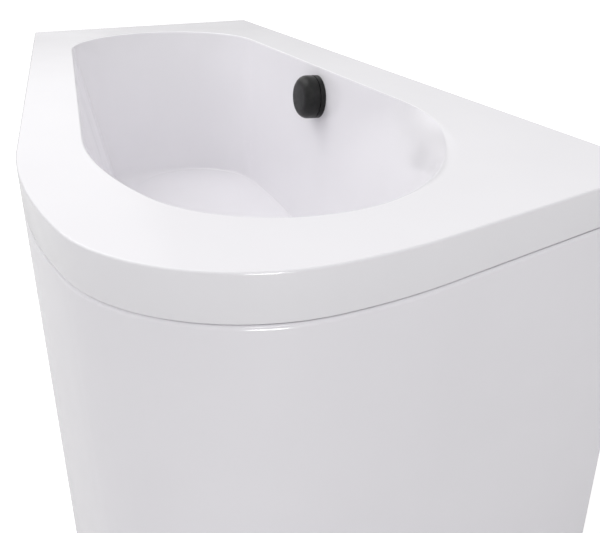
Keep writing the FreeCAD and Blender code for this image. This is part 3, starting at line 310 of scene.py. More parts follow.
class Look(Enum):
    """The finishes of the tub's pieces, by the slot that each belongs to."""

    ACRYLIC = Finish(
        "white_acrylic", (0.868, 0.855, 0.885), (0.882, 0.869, 0.899),
        5.0, (0.15, 0.2), 6.0, 0.00002, 4.0,
    )
    PANEL = Finish(
        "white_panel", (0.865, 0.848, 0.885), (0.879, 0.862, 0.899),
        5.0, (0.14, 0.18), 6.0, 0.00002, 4.0,
    )
    CONTROL = Finish(
        "black_control", (0.009, 0.009, 0.009), (0.014, 0.014, 0.014),
        120.0, (0.3, 0.42), 90.0, 0.00003, 900.0, shine=0.28,
    )
    BOARD = Chipboard(
        "bonded_board", (0.3, 0.2, 0.11), (0.62, 0.47, 0.29),
        130.0, (0.35, 0.55), 60.0, 0.0006, 130.0,
    )
    STEEL = SpangledZinc(
        "galvanised_steel", (0.5, 0.52, 0.54), (0.72, 0.74, 0.76),
        110.0, (0.28, 0.45), 70.0, 0.00005, 400.0, metallic=1.0,
    )
    FASTENER = Finish(
        "zinc_fasteners", (0.56, 0.56, 0.53), (0.7, 0.7, 0.67),
        300.0, (0.2, 0.34), 250.0, 0.00005, 900.0, metallic=1.0,
    )
    FOOT = Finish(
        "black_foot", (0.03, 0.03, 0.03), (0.05, 0.05, 0.05),
        150.0, (0.45, 0.6), 120.0, 0.0001, 700.0,
    )
    FITTING = Finish(
        "grey_fitting", (0.36, 0.37, 0.39), (0.42, 0.43, 0.45),
        60.0, (0.35, 0.5), 90.0, 0.00008, 800.0,
    )
    PIPE = Finish(
        "white_pipe", (0.78, 0.78, 0.76), (0.83, 0.83, 0.82),
        40.0, (0.28, 0.4), 60.0, 0.00008, 500.0,
    )
    NUT = Finish(
        "pipe_nut", (0.7, 0.71, 0.71), (0.77, 0.77, 0.77),
        70.0, (0.35, 0.48), 90.0, 0.00008, 700.0,
    )
    RUBBER = Finish(
        "black_rubber", (0.02, 0.02, 0.02), (0.04, 0.04, 0.04),
        200.0, (0.6, 0.75), 150.0, 0.0001, 900.0,
    )
    CHROME = Finish(
        "chrome_waste", (0.74, 0.75, 0.76), (0.8, 0.8, 0.81),
        60.0, (0.05, 0.1), 80.0, 0.00002, 200.0, metallic=1.0,
    )


class Paintshop:
    """Keeps one material for each look and puts it on pieces."""

    def __init__(self) -> None:
        """Start with no material made."""
        self.made: dict[Look, bpy.types.Material] = {}

    def coat(self, piece: bpy.types.Object, look: Look) -> None:
        """Give a piece one look all over.

        Args:
            piece: Mesh of the piece.
            look: The finish that it gets.
        """
        if look not in self.made:
            self.made[look] = look.value.material()
        piece.data.materials.clear()
        piece.data.materials.append(self.made[look])

    def fit(self, piece: bpy.types.Object, look: Look, body: str, node: str) -> None:
        """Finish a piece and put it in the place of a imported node.

        Args:
            piece: Mesh of the piece.
            look: The finish that it gets.
            body: The body that it moves with.
            node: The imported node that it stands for.
        """
        self.coat(piece, look)
        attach(piece, body)
        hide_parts(node)
        log.info("%s made of %d faces", piece.name, len(piece.data.polygons))

    def dress(self, looks: dict[str, Look]) -> None:
        """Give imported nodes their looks.

        Args:
            looks: Look of each node, by the node's name.
        """
        for name, look in looks.items():
            self.coat(frame["nodes"][name], look)
            log.info("%s gets %s", name, look.value.name)


@dataclass(frozen=True)
class Run:
    """Straight run of an outline seen from above, with the outside on its right.

    Attributes:
        start: Where it begins.
        end: Where it ends.
    """

    start: Vector
    end: Vector

    def at(self, share: float) -> tuple[Vector, Vector]:
        """Place at a share of the way along the run, and the way out of the outline there."""
        way = (self.end - self.start).normalized()
        return self.start.lerp(self.end, share), Vector((way.y, -way.x))

    def share_of(self, spot: Vector) -> float:
        """Share of the way along the run that lies nearest to a spot."""
        way = self.end - self.start
        return (spot - self.start).dot(way) / way.length_squared

    def hit(self, spot: Vector, way: Vector) -> float:
        """Measure how far a ray goes until it meets the run.

        Args:
            spot: Where the ray starts.
            way: Direction of the ray.

        Returns:
            The distance, or infinity where they don't meet.
        """
        along = self.end - self.start
        cross = way.x * along.y - way.y * along.x
        if abs(cross) < TINY:
            return math.inf
        gap = self.start - spot
        share = (gap.x * way.y - gap.y * way.x) / cross
        reach = (gap.x * along.y - gap.y * along.x) / cross
        return reach if -SLACK <= share <= 1.0 + SLACK and reach > 0.0 else math.inf


@dataclass(frozen=True)
class Bow:
    """Arc of an outline that bulges outwards and runs anticlockwise.

    Attributes:
        centre: Centre of the arc.
        radius: Radius of the arc.
        first: Angle at which it begins.
        turn: Angle that it goes through.
    """

    centre: Vector
    radius: float
    first: float
    turn: float

    @classmethod
    def between(cls, centre: Vector, radius: float, start: Vector, end: Vector) -> "Bow":
        """Make an arc from its two ends.

        Args:
            centre: Centre of the arc.
            radius: Radius of the arc.
            start: Where it begins.
            end: Where it ends.

        Returns:
            The arc.
        """
        first = math.atan2(start.y - centre.y, start.x - centre.x)
        last = math.atan2(end.y - centre.y, end.x - centre.x)
        return cls(centre, radius, first, (last - first) % math.tau)

    def at(self, share: float) -> tuple[Vector, Vector]:
        """Find a place on the arc.

        Args:
            share: Share of the way along it.

        Returns:
            The place, and the way out of the outline there.
        """
        angle = self.first + self.turn * share
        way = Vector((math.cos(angle), math.sin(angle)))
        return self.centre + way * self.radius, way

    def share_of(self, spot: Vector) -> float:
        """Find the place on the arc that lies nearest to a spot.

        Args:
            spot: The spot.

        Returns:
            Share of the way along the arc.
        """
        angle = math.atan2(spot.y - self.centre.y, spot.x - self.centre.x)
        past = (angle - self.first + math.pi) % math.tau - math.pi
        return past / self.turn

    def hit(self, spot: Vector, way: Vector) -> float:
        """Measure how far a ray from inside goes until it meets the arc.

        Args:
            spot: Where the ray starts.
            way: Direction of the ray.

        Returns:
            The distance, or infinity where they don't meet.
        """
        gap = spot - self.centre
        half = gap.dot(way)
        rest = half * half - gap.length_squared + self.radius * self.radius
        if rest < 0.0:
            return math.inf
        reach = math.sqrt(rest) - half
        meeting = spot + way * reach - self.centre
        past = (math.atan2(meeting.y, meeting.x) - self.first) % math.tau
        inside = past <= self.turn + SLACK or past >= math.tau - SLACK
        return reach if inside and reach > 0.0 else math.inf


Edge = Run | Bow
Column = tuple[int, float]


@dataclass(frozen=True)
class Plan:
    """The tub seen from above: its rim, and the basin's section at any depth.

    Attributes:
        length: Length of the rim.
        width: Width of the rim.
        height: Height of the rim over the floor.
        depth: Depth of the basin.
        wall: Thickness of the shell.
        setbacks: How far the narrow foot end and the head corner stand back.
        arcs: Radii of the rim's front, end and head corner.
        crowns: Distance of the front's and the end's crown from the tub's corner.
        corner: Radius of the rim's straight corners.
        ledges: Width of the rim at the rear, foot, front and head.
        insets: How far the rear, foot, front and head walls lean in at the floor.
        sag: How much the backrest is hollowed.
        bows: Radii of the basin's front, and of its back at the rim and at the floor.
        egg: Radius of the head's round as a share of its room, at the rim and the floor.
        egg_place: Its distance from the wall as a share of the width, at the rim and the floor.
    """

    length: float = 1.5
    width: float = 0.7
    height: float = 0.59
    depth: float = 0.33
    wall: float = 0.006
    setbacks: Span = (0.155, 0.082)
    arcs: Triple = (0.93, 0.64, 0.22)
    crowns: Span = (0.352, 0.233)
    corner: float = 0.008
    ledges: tuple[float, float, float, float] = (0.103, 0.119, 0.083, 0.109)
    insets: tuple[float, float, float, float] = (0.019, 0.076, 0.067, 0.212)
    sag: float = 0.32
    bows: Triple = (0.584, 0.444, 1.9)
    egg: Span = (0.8134, 0.9719)
    egg_place: Span = (0.5814, 0.55)

    @property
    def foot_corner(self) -> Vector:
        """The front corner of the foot end."""
        return Vector((-self.length / 2, self.setbacks[0] - self.width / 2))

    @property
    def wall_corner(self) -> Vector:
        """The wall corner of the foot end."""
        return Vector((-self.length / 2, self.width / 2))

    @property
    def head_corner(self) -> Vector:
        """The wall corner of the head end."""
        return Vector((self.length / 2 - self.setbacks[1], self.width / 2))

    def room_side(self) -> list[Edge]:
        """Trace the rim from the foot corner round the room side to the wall.

        Returns:
            The edges in order.
        """
        front, end, turn = self.arcs
        front_centre = Vector((self.length / 2 - self.crowns[0], front - self.width / 2))
        end_centre = Vector((self.length / 2 - end, self.crowns[1] - self.width / 2))
        between = end_centre - front_centre
        gap = between.length
        along = (gap**2 + (front - turn) ** 2 - (end - turn) ** 2) / (2 * gap)
        aside = math.sqrt((front - turn) ** 2 - along**2)
        way = between.normalized()
        foot = front_centre + way * along
        across = Vector((-way.y, way.x)) * aside
        turn_centre = max((foot - across, foot + across), key=lambda spot: spot.x - spot.y)
        front_start = touch(self.foot_corner, front_centre, front, -1)
        end_finish = touch(self.head_corner, end_centre, end, 1)
        front_finish = front_centre + (turn_centre - front_centre).normalized() * front
        end_start = end_centre + (turn_centre - end_centre).normalized() * end
        return [
            Run(self.foot_corner, front_start),
            Bow.between(front_centre, front, front_start, front_finish),
            Bow.between(turn_centre, turn, front_finish, end_start),
            Bow.between(end_centre, end, end_start, end_finish),
            Run(end_finish, self.head_corner),
        ]

    def rim(self) -> list[Edge]:
        """Trace the whole rim with its corners rounded.

        Returns:
            The edges in order.
        """
        edges = self.room_side()
        edges.append(Run(self.head_corner, self.wall_corner))
        edges.append(Run(self.wall_corner, self.foot_corner))
        rounded: list[Edge] = []
        for index, edge in enumerate(edges):
            after = edges[(index + 1) % len(edges)]
            rounded.append(edge)
            if isinstance(edge, Run) and isinstance(after, Run):
                rounded.append(self.rounding(edge, after))
        for index, edge in enumerate(rounded):
            before, after = rounded[index - 1], rounded[(index + 1) % len(rounded)]
            if isinstance(edge, Run):
                start = before.at(1.0)[0] if isinstance(before, Bow) else edge.start
                end = after.at(0.0)[0] if isinstance(after, Bow) else edge.end
                rounded[index] = Run(start, end)
        return rounded

    def rounding(self, before: Run, after: Run) -> Bow:
        """Round the corner between two straight runs.

        Args:
            before: The run that ends at the corner.
            after: The run that begins there.

        Returns:
            The small arc.
        """
        back = (before.start - before.end).normalized()
        ahead = (after.end - after.start).normalized()
        half = back.angle(ahead) / 2
        tangent = self.corner / math.tan(half)
        spot = before.end
        centre = spot + (back + ahead).normalized() * (self.corner / math.sin(half))
        return Bow.between(centre, self.corner, spot + back * tangent, spot + ahead * tangent)

    def basin(self, share: float, grow: float = 0.0) -> list[Edge]:
        """Trace the basin's section at a share of its depth.

        Args:
            share: Share of the depth.
            grow: How far the outline is moved outwards.

        Returns:
            The rear, foot, front, bow, egg and back edges in order.
        """
        lean = share - self.sag * share * (1.0 - share)
        rear_ledge, foot_ledge, front_ledge, head_ledge = self.ledges
        rear_inset, foot_inset, front_inset, head_inset = self.insets
        rear = self.width / 2 - rear_ledge - rear_inset * share
        foot = -self.length / 2 + foot_ledge + foot_inset * share
        way = self.room_side()[0].at(0.0)[1]
        inner = -way
        ahead = Vector((-way.y, way.x))
        front = self.foot_corner + inner * (front_ledge + front_inset * share)
        room = (Vector((foot, rear)) - front).dot(inner)
        foot_radius = room / (1.0 - inner.x + inner.y)
        foot_centre = Vector((foot + foot_radius, rear - foot_radius))
        end_x = self.length / 2 - head_ledge - head_inset * lean
        end = Vector((end_x, self.width * (0.5 - mix(self.egg_place, share))))
        fill = mix(self.egg, share)
        egg = fill * (end - front).dot(inner) / (1.0 + fill * inner.x)
        egg_centre = end - Vector((egg, 0.0))
        front_bow, end_bow = self.bows[0], mix(self.bows[1:], share)
        clear = egg / fill
        slide = math.sqrt((front_bow - egg) ** 2 - (front_bow - clear) ** 2)
        bow_centre = egg_centre - inner * clear - ahead * slide + inner * front_bow
        drop = egg_centre.y - (rear - end_bow)
        back_x = egg_centre.x - math.sqrt((end_bow - egg) ** 2 - drop**2)
        back_centre = Vector((back_x, rear - end_bow))
        bow_end = (egg_centre - bow_centre).normalized()
        egg_end = (egg_centre - back_centre).normalized()
        corners = [
            Vector((back_x, rear + grow)),
            Vector((foot_centre.x, rear + grow)),
            foot_centre - inner * (foot_radius + grow),
            bow_centre - inner * (front_bow + grow),
            bow_centre + bow_end * (front_bow + grow),
            back_centre + egg_end * (end_bow + grow),
        ]
        return [
            Run(corners[0], corners[1]),
            Bow.between(foot_centre, foot_radius + grow, corners[1], corners[2]),
            Run(corners[2], corners[3]),
            Bow.between(bow_centre, front_bow + grow, corners[3], corners[4]),
            Bow.between(egg_centre, egg + grow, corners[4], corners[5]),
            Bow.between(back_centre, end_bow + grow, corners[5], corners[0]),
        ]


def touch(spot: Vector, centre: Vector, radius: float, side: int) -> Vector:
    """Find where a line from outside touches a circle.

    Args:
        spot: Where the line starts.
        centre: Centre of the circle.
        radius: Radius of the circle.
        side: 1 for the left touch, -1 for the right one.

    Returns:
        The point of touch.
    """
    reach = centre - spot
    swing = math.asin(radius / reach.length) * side
    aslant = Vector(
        (
            reach.x * math.cos(swing) - reach.y * math.sin(swing),
            reach.x * math.sin(swing) + reach.y * math.cos(swing),
        )
    )
    return spot + aslant.normalized() * math.sqrt(reach.length_squared - radius**2)


def bend(
    start: Vector, start_way: Vector, end: Vector, end_way: Vector, steps: int
) -> list[Vector]:
    """Draw a smooth rounding between two points.

    Args:
        start: Where it begins.
        start_way: Direction in which it leaves.
        end: Where it ends.
        end_way: Direction in which it arrives.
        steps: Number of steps along it.

    Returns:
        The points, with both ends.
    """
    turn = max(start_way.angle(end_way), TINY)
    # The handles are as long as those of a circle's arc through both ends.
    reach = (end - start).length * 4.0 / 3.0 * math.tan(turn / 4) / (2.0 * math.sin(turn / 2))
    handles = (start, start + start_way * reach, end - end_way * reach, end)
    points = []
    for step in range(steps + 1):
        share = step / steps
        rest = 1.0 - share
        weights = (rest**3, 3 * rest * rest * share, 3 * rest * share * share, share**3)
        pulls = (spot * weight for spot, weight in zip(handles, weights))
        points.append(sum(pulls, Vector((0.0, 0.0, 0.0))))
    return points


def raised(spot: Vector, height: float) -> Vector:
    """A point of the plan at a height."""
    return Vector((spot.x, spot.y, height))


def knob_axis() -> tuple[Vector, Vector]:
    """Where the axis of the overflow's knob meets the wall, and its direction."""
    joint = next(joint for joint in frame["joints"] if joint["name"] == "knob_turn")
    return Vector(joint["pos_m"]), Vector(joint["axis"])


def quads(rings: int, rows: int, closed: bool) -> list[Face]:
    """Join closed rings of points with four-sided faces.

    Args:
        rings: Number of rings.
        rows: Number of points in each ring.
        closed: Whether the last ring joins the first.

    Returns:
        Corners of each face.
    """
    faces: list[Face] = []
    for index in range(rings if closed else rings - 1):
        here, there = index * rows, (index + 1) % rings * rows
        for row in range(rows):
            beyond = (row + 1) % rows
            faces.append((here + row, there + row, there + beyond, here + beyond))
    return faces


def piece_of(name: str, points: list[Vector], faces: list[Face]) -> bpy.types.Object:
    """Make a mesh piece with smooth faces and crisp edges.

    Args:
        name: Name of the piece.
        points: Its corners.
        faces: Corners of each face.

    Returns:
        The new object.
    """
    mesh = bpy.data.meshes.new(name)
    mesh.from_pydata([tuple(point) for point in points], [], faces)
    mesh.update()
    mesh.shade_smooth()
    mesh.set_sharp_from_angle(angle=math.radians(CREASE))
    piece = bpy.data.objects.new(name, mesh)
    bpy.context.collection.objects.link(piece)
    return piece


def rounded(corners: tuple[Triple, ...], steps: int = 6) -> list[Span]:
    """Round the corners of a profile.

    Args:
        corners: Radius, height and rounding of each corner.
        steps: Number of steps along each rounding.

    Returns:
        Radius and height of each point.
    """
    spots = [Vector((radius, 0.0, height)) for radius, height, soft in corners]
    points: list[Span] = []
    for index, (radius, height, soft) in enumerate(corners):
        if soft == 0.0:
            points.append((radius, height))
            continue
        spot = spots[index]
        back = (spots[index - 1] - spot).normalized()
        ahead = (spots[(index + 1) % len(spots)] - spot).normalized()
        tangent = soft / math.tan(back.angle(ahead) / 2)
        arc = bend(spot + back * tangent, -back, spot + ahead * tangent, ahead, steps)
        points += [(point.x, point.z) for point in arc]
    return points


def turned(
    name: str, profile: list[Span], seat: Vector, axis: Vector, columns: int = 96
) -> bpy.types.Object:
    """Turn a profile round an axis.

    Args:
        name: Name of the piece.
        profile: Radius and height of each point; it is closed unless it starts on the axis.
        seat: Where the axis starts.
        axis: Direction of the axis.
        columns: Number of places round it.

    Returns:
        The new object.
    """
    swing = axis.to_track_quat("Z", "Y")
    points: list[Vector] = []
    rows: list[list[int]] = []
    for radius, height in profile:
        count = columns if radius > 0.0 else 1
        rows.append(list(range(len(points), len(points) + count)))
        for column in range(count):
            angle = math.tau * column / columns
            spot = Vector((radius * math.cos(angle), radius * math.sin(angle), height))
            points.append(seat + swing @ spot)
    pairs = list(zip(rows, rows[1:]))
    if len(rows[0]) > 1:
        pairs.append((rows[-1], rows[0]))
    faces: list[Face] = []
    for low, high in pairs:
        for column in range(columns):
            beyond = column + 1
            ring = [low[column % len(low)], low[beyond % len(low)]]
            ring += [high[beyond % len(high)], high[column % len(high)]]
            faces.append(tuple(dict.fromkeys(ring)))
    return piece_of(name, points, faces)


@dataclass
class TubShell:
    """The acrylic shell: rim, basin and floor in one skin.

    Attributes:
        plan: The tub seen from above.
        steps: Columns along the rear, foot, front, bow, egg and back of the basin.
        fascia: Depth of the rim's outer face, at the tub's front and at the wall.
        rim_edge: Radius of the rim's outer edge.
        fascia_edge: Radius of the fascia's lower edge.
        opening_edge: Radius of the opening's edge, and of its soft corner at the backrest.
        soft_span: Where the soft corner starts along the egg, and is widest and ends along
            the back.
        under_edge: Least radius of the sheet's underside at the opening.
        floor_edge: Radius where the walls meet the floor, and at the foot's front corner.
        floor_span: Where the wide floor corner starts along the foot, and is widest and ends along
            the front.
        floor_rows: Rows of points on the floor, as shares of the way to the well.
        well: Radius and depth of the waste's well.
        lip: Radius of the well's edges.
        boss: Radius of the well's underside.
        drain: Radius of the drain hole.
        waste: Place of the waste.
        overflow: Radius of the overflow hole.
        bore_length: Length of the tool that cuts it.
        bore_sides: Number of the tool's sides.
        guards: How many times as far as the rounding beside it the next row of points lies: on the
            rim at the opening, on the floor, on the fascia and on the rim at its outer edge.
        inner_steps: Steps down the opening's edge, the wall and the floor's edge.
        outer_steps: Steps up the floor's edge, the wall and the opening's edge, under the skin.
        border_steps: Steps along the fascia's lower edge, and along the rim's outer edge.
        corner_steps: Steps round each corner of the rim.
        kept: Sections of the basin that are made already.
    """

    plan: Plan
    steps: tuple[int, ...] = (36, 160, 36, 36, 84, 64)
    fascia: Span = (0.0514, 0.0498)
    rim_edge: float = 0.0025
    fascia_edge: float = 0.0008
    opening_edge: Span = (0.003, 0.024)
    soft_span: Triple = (0.9, 0.25, 0.75)
    under_edge: float = 0.002
    floor_edge: Span = (0.006, 0.045)
    floor_span: Triple = (0.35, 0.0, 0.6)
    floor_rows: Triple = (0.35, 0.7, 0.92)
    well: Span = (0.044, 0.005)
    lip: float = 0.0012
    boss: float = 0.05
    drain: float = 0.026
    waste: Vector = field(default_factory=lambda: Vector((-0.06405, 0.06)))
    overflow: float = 0.026
    bore_length: float = 0.06
    bore_sides: int = 64
    guards: tuple[float, float, float, float] = (1.05, 1.1, 1.2, 1.3)
    inner_steps: tuple[int, int, int] = (14, 12, 8)
    outer_steps: tuple[int, int, int] = (5, 8, 6)
    border_steps: tuple[int, int] = (3, 6)
    corner_steps: int = 4
    kept: dict[tuple[float, float], list[Edge]] = field(default_factory=dict, init=False)

    def columns(self) -> list[Column]:
        """Choose the places round the basin where the skin is drawn.

        Returns:
            Edge number and share along it, in order, with the rim's corners met.
        """
        counts = zip(Side, self.steps)
        picked = [(int(side), step / count) for side, count in counts for step in range(count)]
        opening = self.plan.basin(0.0)
        for edge in self.plan.rim():
            if isinstance(edge, Bow) and edge.radius <= self.plan.corner:
                for step in range(self.corner_steps + 1):
                    picked.append(self.nearest(opening, edge.at(step / self.corner_steps)[0]))
        return sorted(picked)

    @staticmethod
    def nearest(outline: list[Edge], spot: Vector) -> Column:
        """Find the place on an outline that lies nearest to a spot outside it.

        Args:
            outline: Edges of the outline.
            spot: The spot.

        Returns:
            Edge number and share along it.
        """
        near = []
        for index, edge in enumerate(outline):
            share = edge.share_of(spot)
            if 0.0 <= share < 1.0:
                near.append(((edge.at(share)[0] - spot).length, index, share))
        _, index, share = min(near)
        return index, share

    def rounding(self, column: Column) -> float:
        """Radius of the opening's edge, which widens at the backrest's corner."""
        return self.widening(column, self.opening_edge, (Side.EGG, Side.BACK), self.soft_span)

    def floor_rounding(self, column: Column) -> float:
        """Radius of the floor's edge, which widens at the foot's front corner."""
        return self.widening(column, self.floor_edge, (Side.FOOT, Side.FRONT), self.floor_span)

    @staticmethod
    def widening(column: Column, radii: Span, edges: tuple[Side, Side], span: Triple) -> float:
        """Ease a radius wider towards the corner of two edges.

        Args:
            column: Place round the basin.
            radii: Radius elsewhere and at the corner.
            edges: The edge before the corner and the one after it.
            span: Where it starts along the one, and is widest and ends along the other.

        Returns:
            The radius.
        """
        before, after = edges
        start, widest, finish = before + span[0], after + span[1], after + span[2]
        place = sum(column)
        soft = min((place - start) / (widest - start), (finish - place) / (finish - widest))
        soft = min(max(soft, 0.0), 1.0)
        return mix(radii, soft * soft * (3.0 - 2.0 * soft))

    def wall_point(self, column: Column, share: float, grow: float) -> Vector:
        """Find a point on the basin's wall.

        Args:
            column: Place round the basin.
            share: Share of the depth.
            grow: Distance outside the basin's inner face.

        Returns:
            The point.
        """
        edge, along = column
        spot = self.sections(share, grow)[edge].at(along)[0]
        return raised(spot, self.plan.height - self.plan.depth * share)

    def sections(self, share: float, grow: float) -> list[Edge]:
        """Find the basin's section, which is kept once it is made.

        Args:
            share: Share of the depth.
            grow: Distance outside the basin's inner face.

        Returns:
            The section's edges.
        """
        key = (round(share, 6), grow)
        if key not in self.kept:
            self.kept[key] = self.plan.basin(key[0], grow)
        return self.kept[key]

    def wall_way(self, column: Column, share: float, grow: float) -> Vector:
        """Direction down the basin's wall, at a distance outside its inner face."""
        lower = self.wall_point(column, share + PROBE, grow)
        return (lower - self.wall_point(column, share - PROBE, grow)).normalized()

    def inside(self, column: Column) -> list[Vector]:
        """Draw the visible skin from the rim's flat to the well.

        Args:
            column: Place round the basin.

        Returns:
            The points, from the rim inwards.
        """
        plan = self.plan
        edge, along = column
        opening_steps, wall_steps, floor_steps = self.inner_steps
        corner = self.wall_point(column, 0.0, 0.0)
        out = raised(self.sections(0.0, 0.0)[edge].at(along)[1], 0.0)
        down = self.wall_way(column, PROBE, 0.0)
        tangent = self.rounding(column) / math.tan(out.angle(down) / 2)
        share = tangent * -down.z / plan.depth
        landing = self.wall_point(column, share, 0.0)
        points = [corner + out * (self.guards[0] * tangent)]
        slope = self.wall_way(column, share, 0.0)
        points += bend(corner + out * tangent, -out, landing, slope, opening_steps)
        up = -self.wall_way(column, 1.0 - PROBE, 0.0)
        low = self.wall_point(column, 1.0, 0.0)
        inner = -raised(self.sections(1.0, 0.0)[edge].at(along)[1], 0.0)
        foot = self.floor_rounding(column) / math.tan(up.angle(inner) / 2)
        last = 1.0 - foot * up.z / plan.depth
        for step in range(1, wall_steps):
            points.append(self.wall_point(column, mix((share, last), step / wall_steps), 0.0))
        landing = self.wall_point(column, last, 0.0)
        points += bend(landing, -up, low + inner * foot, inner, floor_steps)
        flat = low + inner * (self.guards[1] * foot)
        points.append(flat)
        floor = plan.height - plan.depth
        away = (flat.xy - self.waste).normalized()
        lip, belly = self.lip, BELLY * self.lip
        radius, deep = self.well
        for part in self.floor_rows:
            points.append(raised(flat.xy.lerp(self.waste + away * (radius + 2 * lip), part), floor))
        for reach, height in (
            (radius + 2 * lip, floor),
            (radius + lip, floor),
            (radius + belly, floor - belly),
            (radius, floor - lip),
            (radius, floor - deep + lip),
            (radius - belly, floor - deep + belly),
            (radius - lip, floor - deep),
            (self.drain, floor - deep),
        ):
            points.append(raised(self.waste + away * reach, height))
        return points

    def outside(self, column: Column) -> list[Vector]:
        """Draw the hidden skin from the drain hole to the rim's underside.

        Args:
            column: Place round the basin.

        Returns:
            The points, from the drain outwards.
        """
        plan = self.plan
        wall = plan.wall
        edge, along = column
        floor_steps, wall_steps, opening_steps = self.outer_steps
        deepest = 1.0 + wall / plan.depth
        under = plan.height - plan.depth * deepest
        low = self.wall_point(column, deepest, wall)
        up = -self.wall_way(column, deepest - PROBE, wall)
        inner = -raised(self.sections(deepest, wall)[edge].at(along)[1], 0.0)
        foot = (self.floor_rounding(column) + wall) / math.tan(up.angle(inner) / 2)
        flat = low + inner * foot
        away = (flat.xy - self.waste).normalized()
        points = [
            raised(self.waste + away * self.drain, under - self.well[1]),
            raised(self.waste + away * self.boss, under - self.well[1]),
            raised(self.waste + away * self.boss, under),
        ]
        first = deepest - foot * up.z / plan.depth
        points += bend(flat, -inner, self.wall_point(column, first, wall), up, floor_steps)
        top = wall / plan.depth
        edge_out = raised(self.sections(top, wall)[edge].at(along)[1], 0.0)
        down = self.wall_way(column, top + PROBE, wall)
        soft = max(self.rounding(column) - wall, self.under_edge)
        tangent = soft / math.tan(edge_out.angle(down) / 2)
        last = top - tangent * down.z / plan.depth
        for step in range(1, wall_steps):
            points.append(self.wall_point(column, mix((first, last), step / wall_steps), wall))
        landing = self.wall_point(column, top, wall) + edge_out * tangent
        points += bend(self.wall_point(column, last, wall), -down, landing, edge_out, opening_steps)
        return points

    def border(self, column: Column, rim: list[Edge]) -> list[Vector]:
        """Draw the rim's outer edge and fascia.

        Args:
            column: Place round the basin.
            rim: Edges of the rim.

        Returns:
            The points, from the rim's underside round the fascia to the rim's flat.
        """
        plan = self.plan
        edge, along = column
        spot, way = self.sections(0.0, 0.0)[edge].at(along)
        reach, index = min((side.hit(spot, way), index) for index, side in enumerate(rim))
        outer = spot + way * reach
        side = rim[index]
        out = side.at(min(max(side.share_of(outer), 0.0), 1.0))[1]
        flat_out = raised(out, 0.0)
        top = plan.height
        low = top - mix(self.fascia, outer.y / plan.width + 0.5)
        small, large = self.fascia_edge, self.rim_edge
        fascia_steps, rim_steps = self.border_steps
        behind = outer - out * plan.wall
        points = [raised(behind, top - plan.wall), raised(behind, low)]
        start, end = raised(outer - out * small, low), raised(outer, low + small)
        points += bend(start, flat_out, end, UPWARD, fascia_steps)
        points.append(raised(outer, top - self.guards[2] * large))
        start, end = raised(outer, top - large), raised(outer - out * large, top)
        points += bend(start, UPWARD, end, -flat_out, rim_steps)
        points.append(raised(outer - out * (self.guards[3] * large), top))
        return points

    def build(self, shop: Paintshop) -> None:
        """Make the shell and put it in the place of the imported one.

        Args:
            shop: Where it gets its finish.
        """
        rim = self.plan.rim()
        rings = []
        for column in self.columns():
            rings.append(self.border(column, rim) + self.inside(column) + self.outside(column))
        faces = quads(len(rings), len(rings[0]), True)
        piece = piece_of("tub_skin", [point for ring in rings for point in ring], faces)
        self.bore(piece)
        shop.fit(piece, Look.ACRYLIC, "tub", "tub_shell")
        shop.dress({"front_rim_batten": Look.BOARD, "end_rim_batten": Look.BOARD})

    def bore(self, piece: bpy.types.Object) -> None:
        """Cut the overflow hole through the rear wall.

        Args:
            piece: The shell.
        """
        seat, axis = knob_axis()
        mesh = bpy.data.meshes.new("bore")
        shape = bmesh.new()
        bmesh.ops.create_cone(
            shape,
            cap_ends=True,
            segments=self.bore_sides,
            radius1=self.overflow,
            radius2=self.overflow,
            depth=self.bore_length,
        )
        shape.to_mesh(mesh)
        shape.free()
        drill = bpy.data.objects.new("bore", mesh)
        bpy.context.collection.objects.link(drill)
        drill.location = seat
        drill.rotation_euler = axis.to_track_quat("Z", "Y").to_euler()
        change = piece.modifiers.new("bore", "BOOLEAN")
        change.object = drill
        change.operation = "DIFFERENCE"
        change.solver = "EXACT"
        graph = bpy.context.evaluated_depsgraph_get()
        bored = bpy.data.meshes.new_from_object(piece.evaluated_get(graph))
        piece.modifiers.clear()
        piece.data = bored
        piece.data.name = "tub_skin"
        piece.data.set_sharp_from_angle(angle=math.radians(CREASE))
        bpy.data.objects.remove(drill)


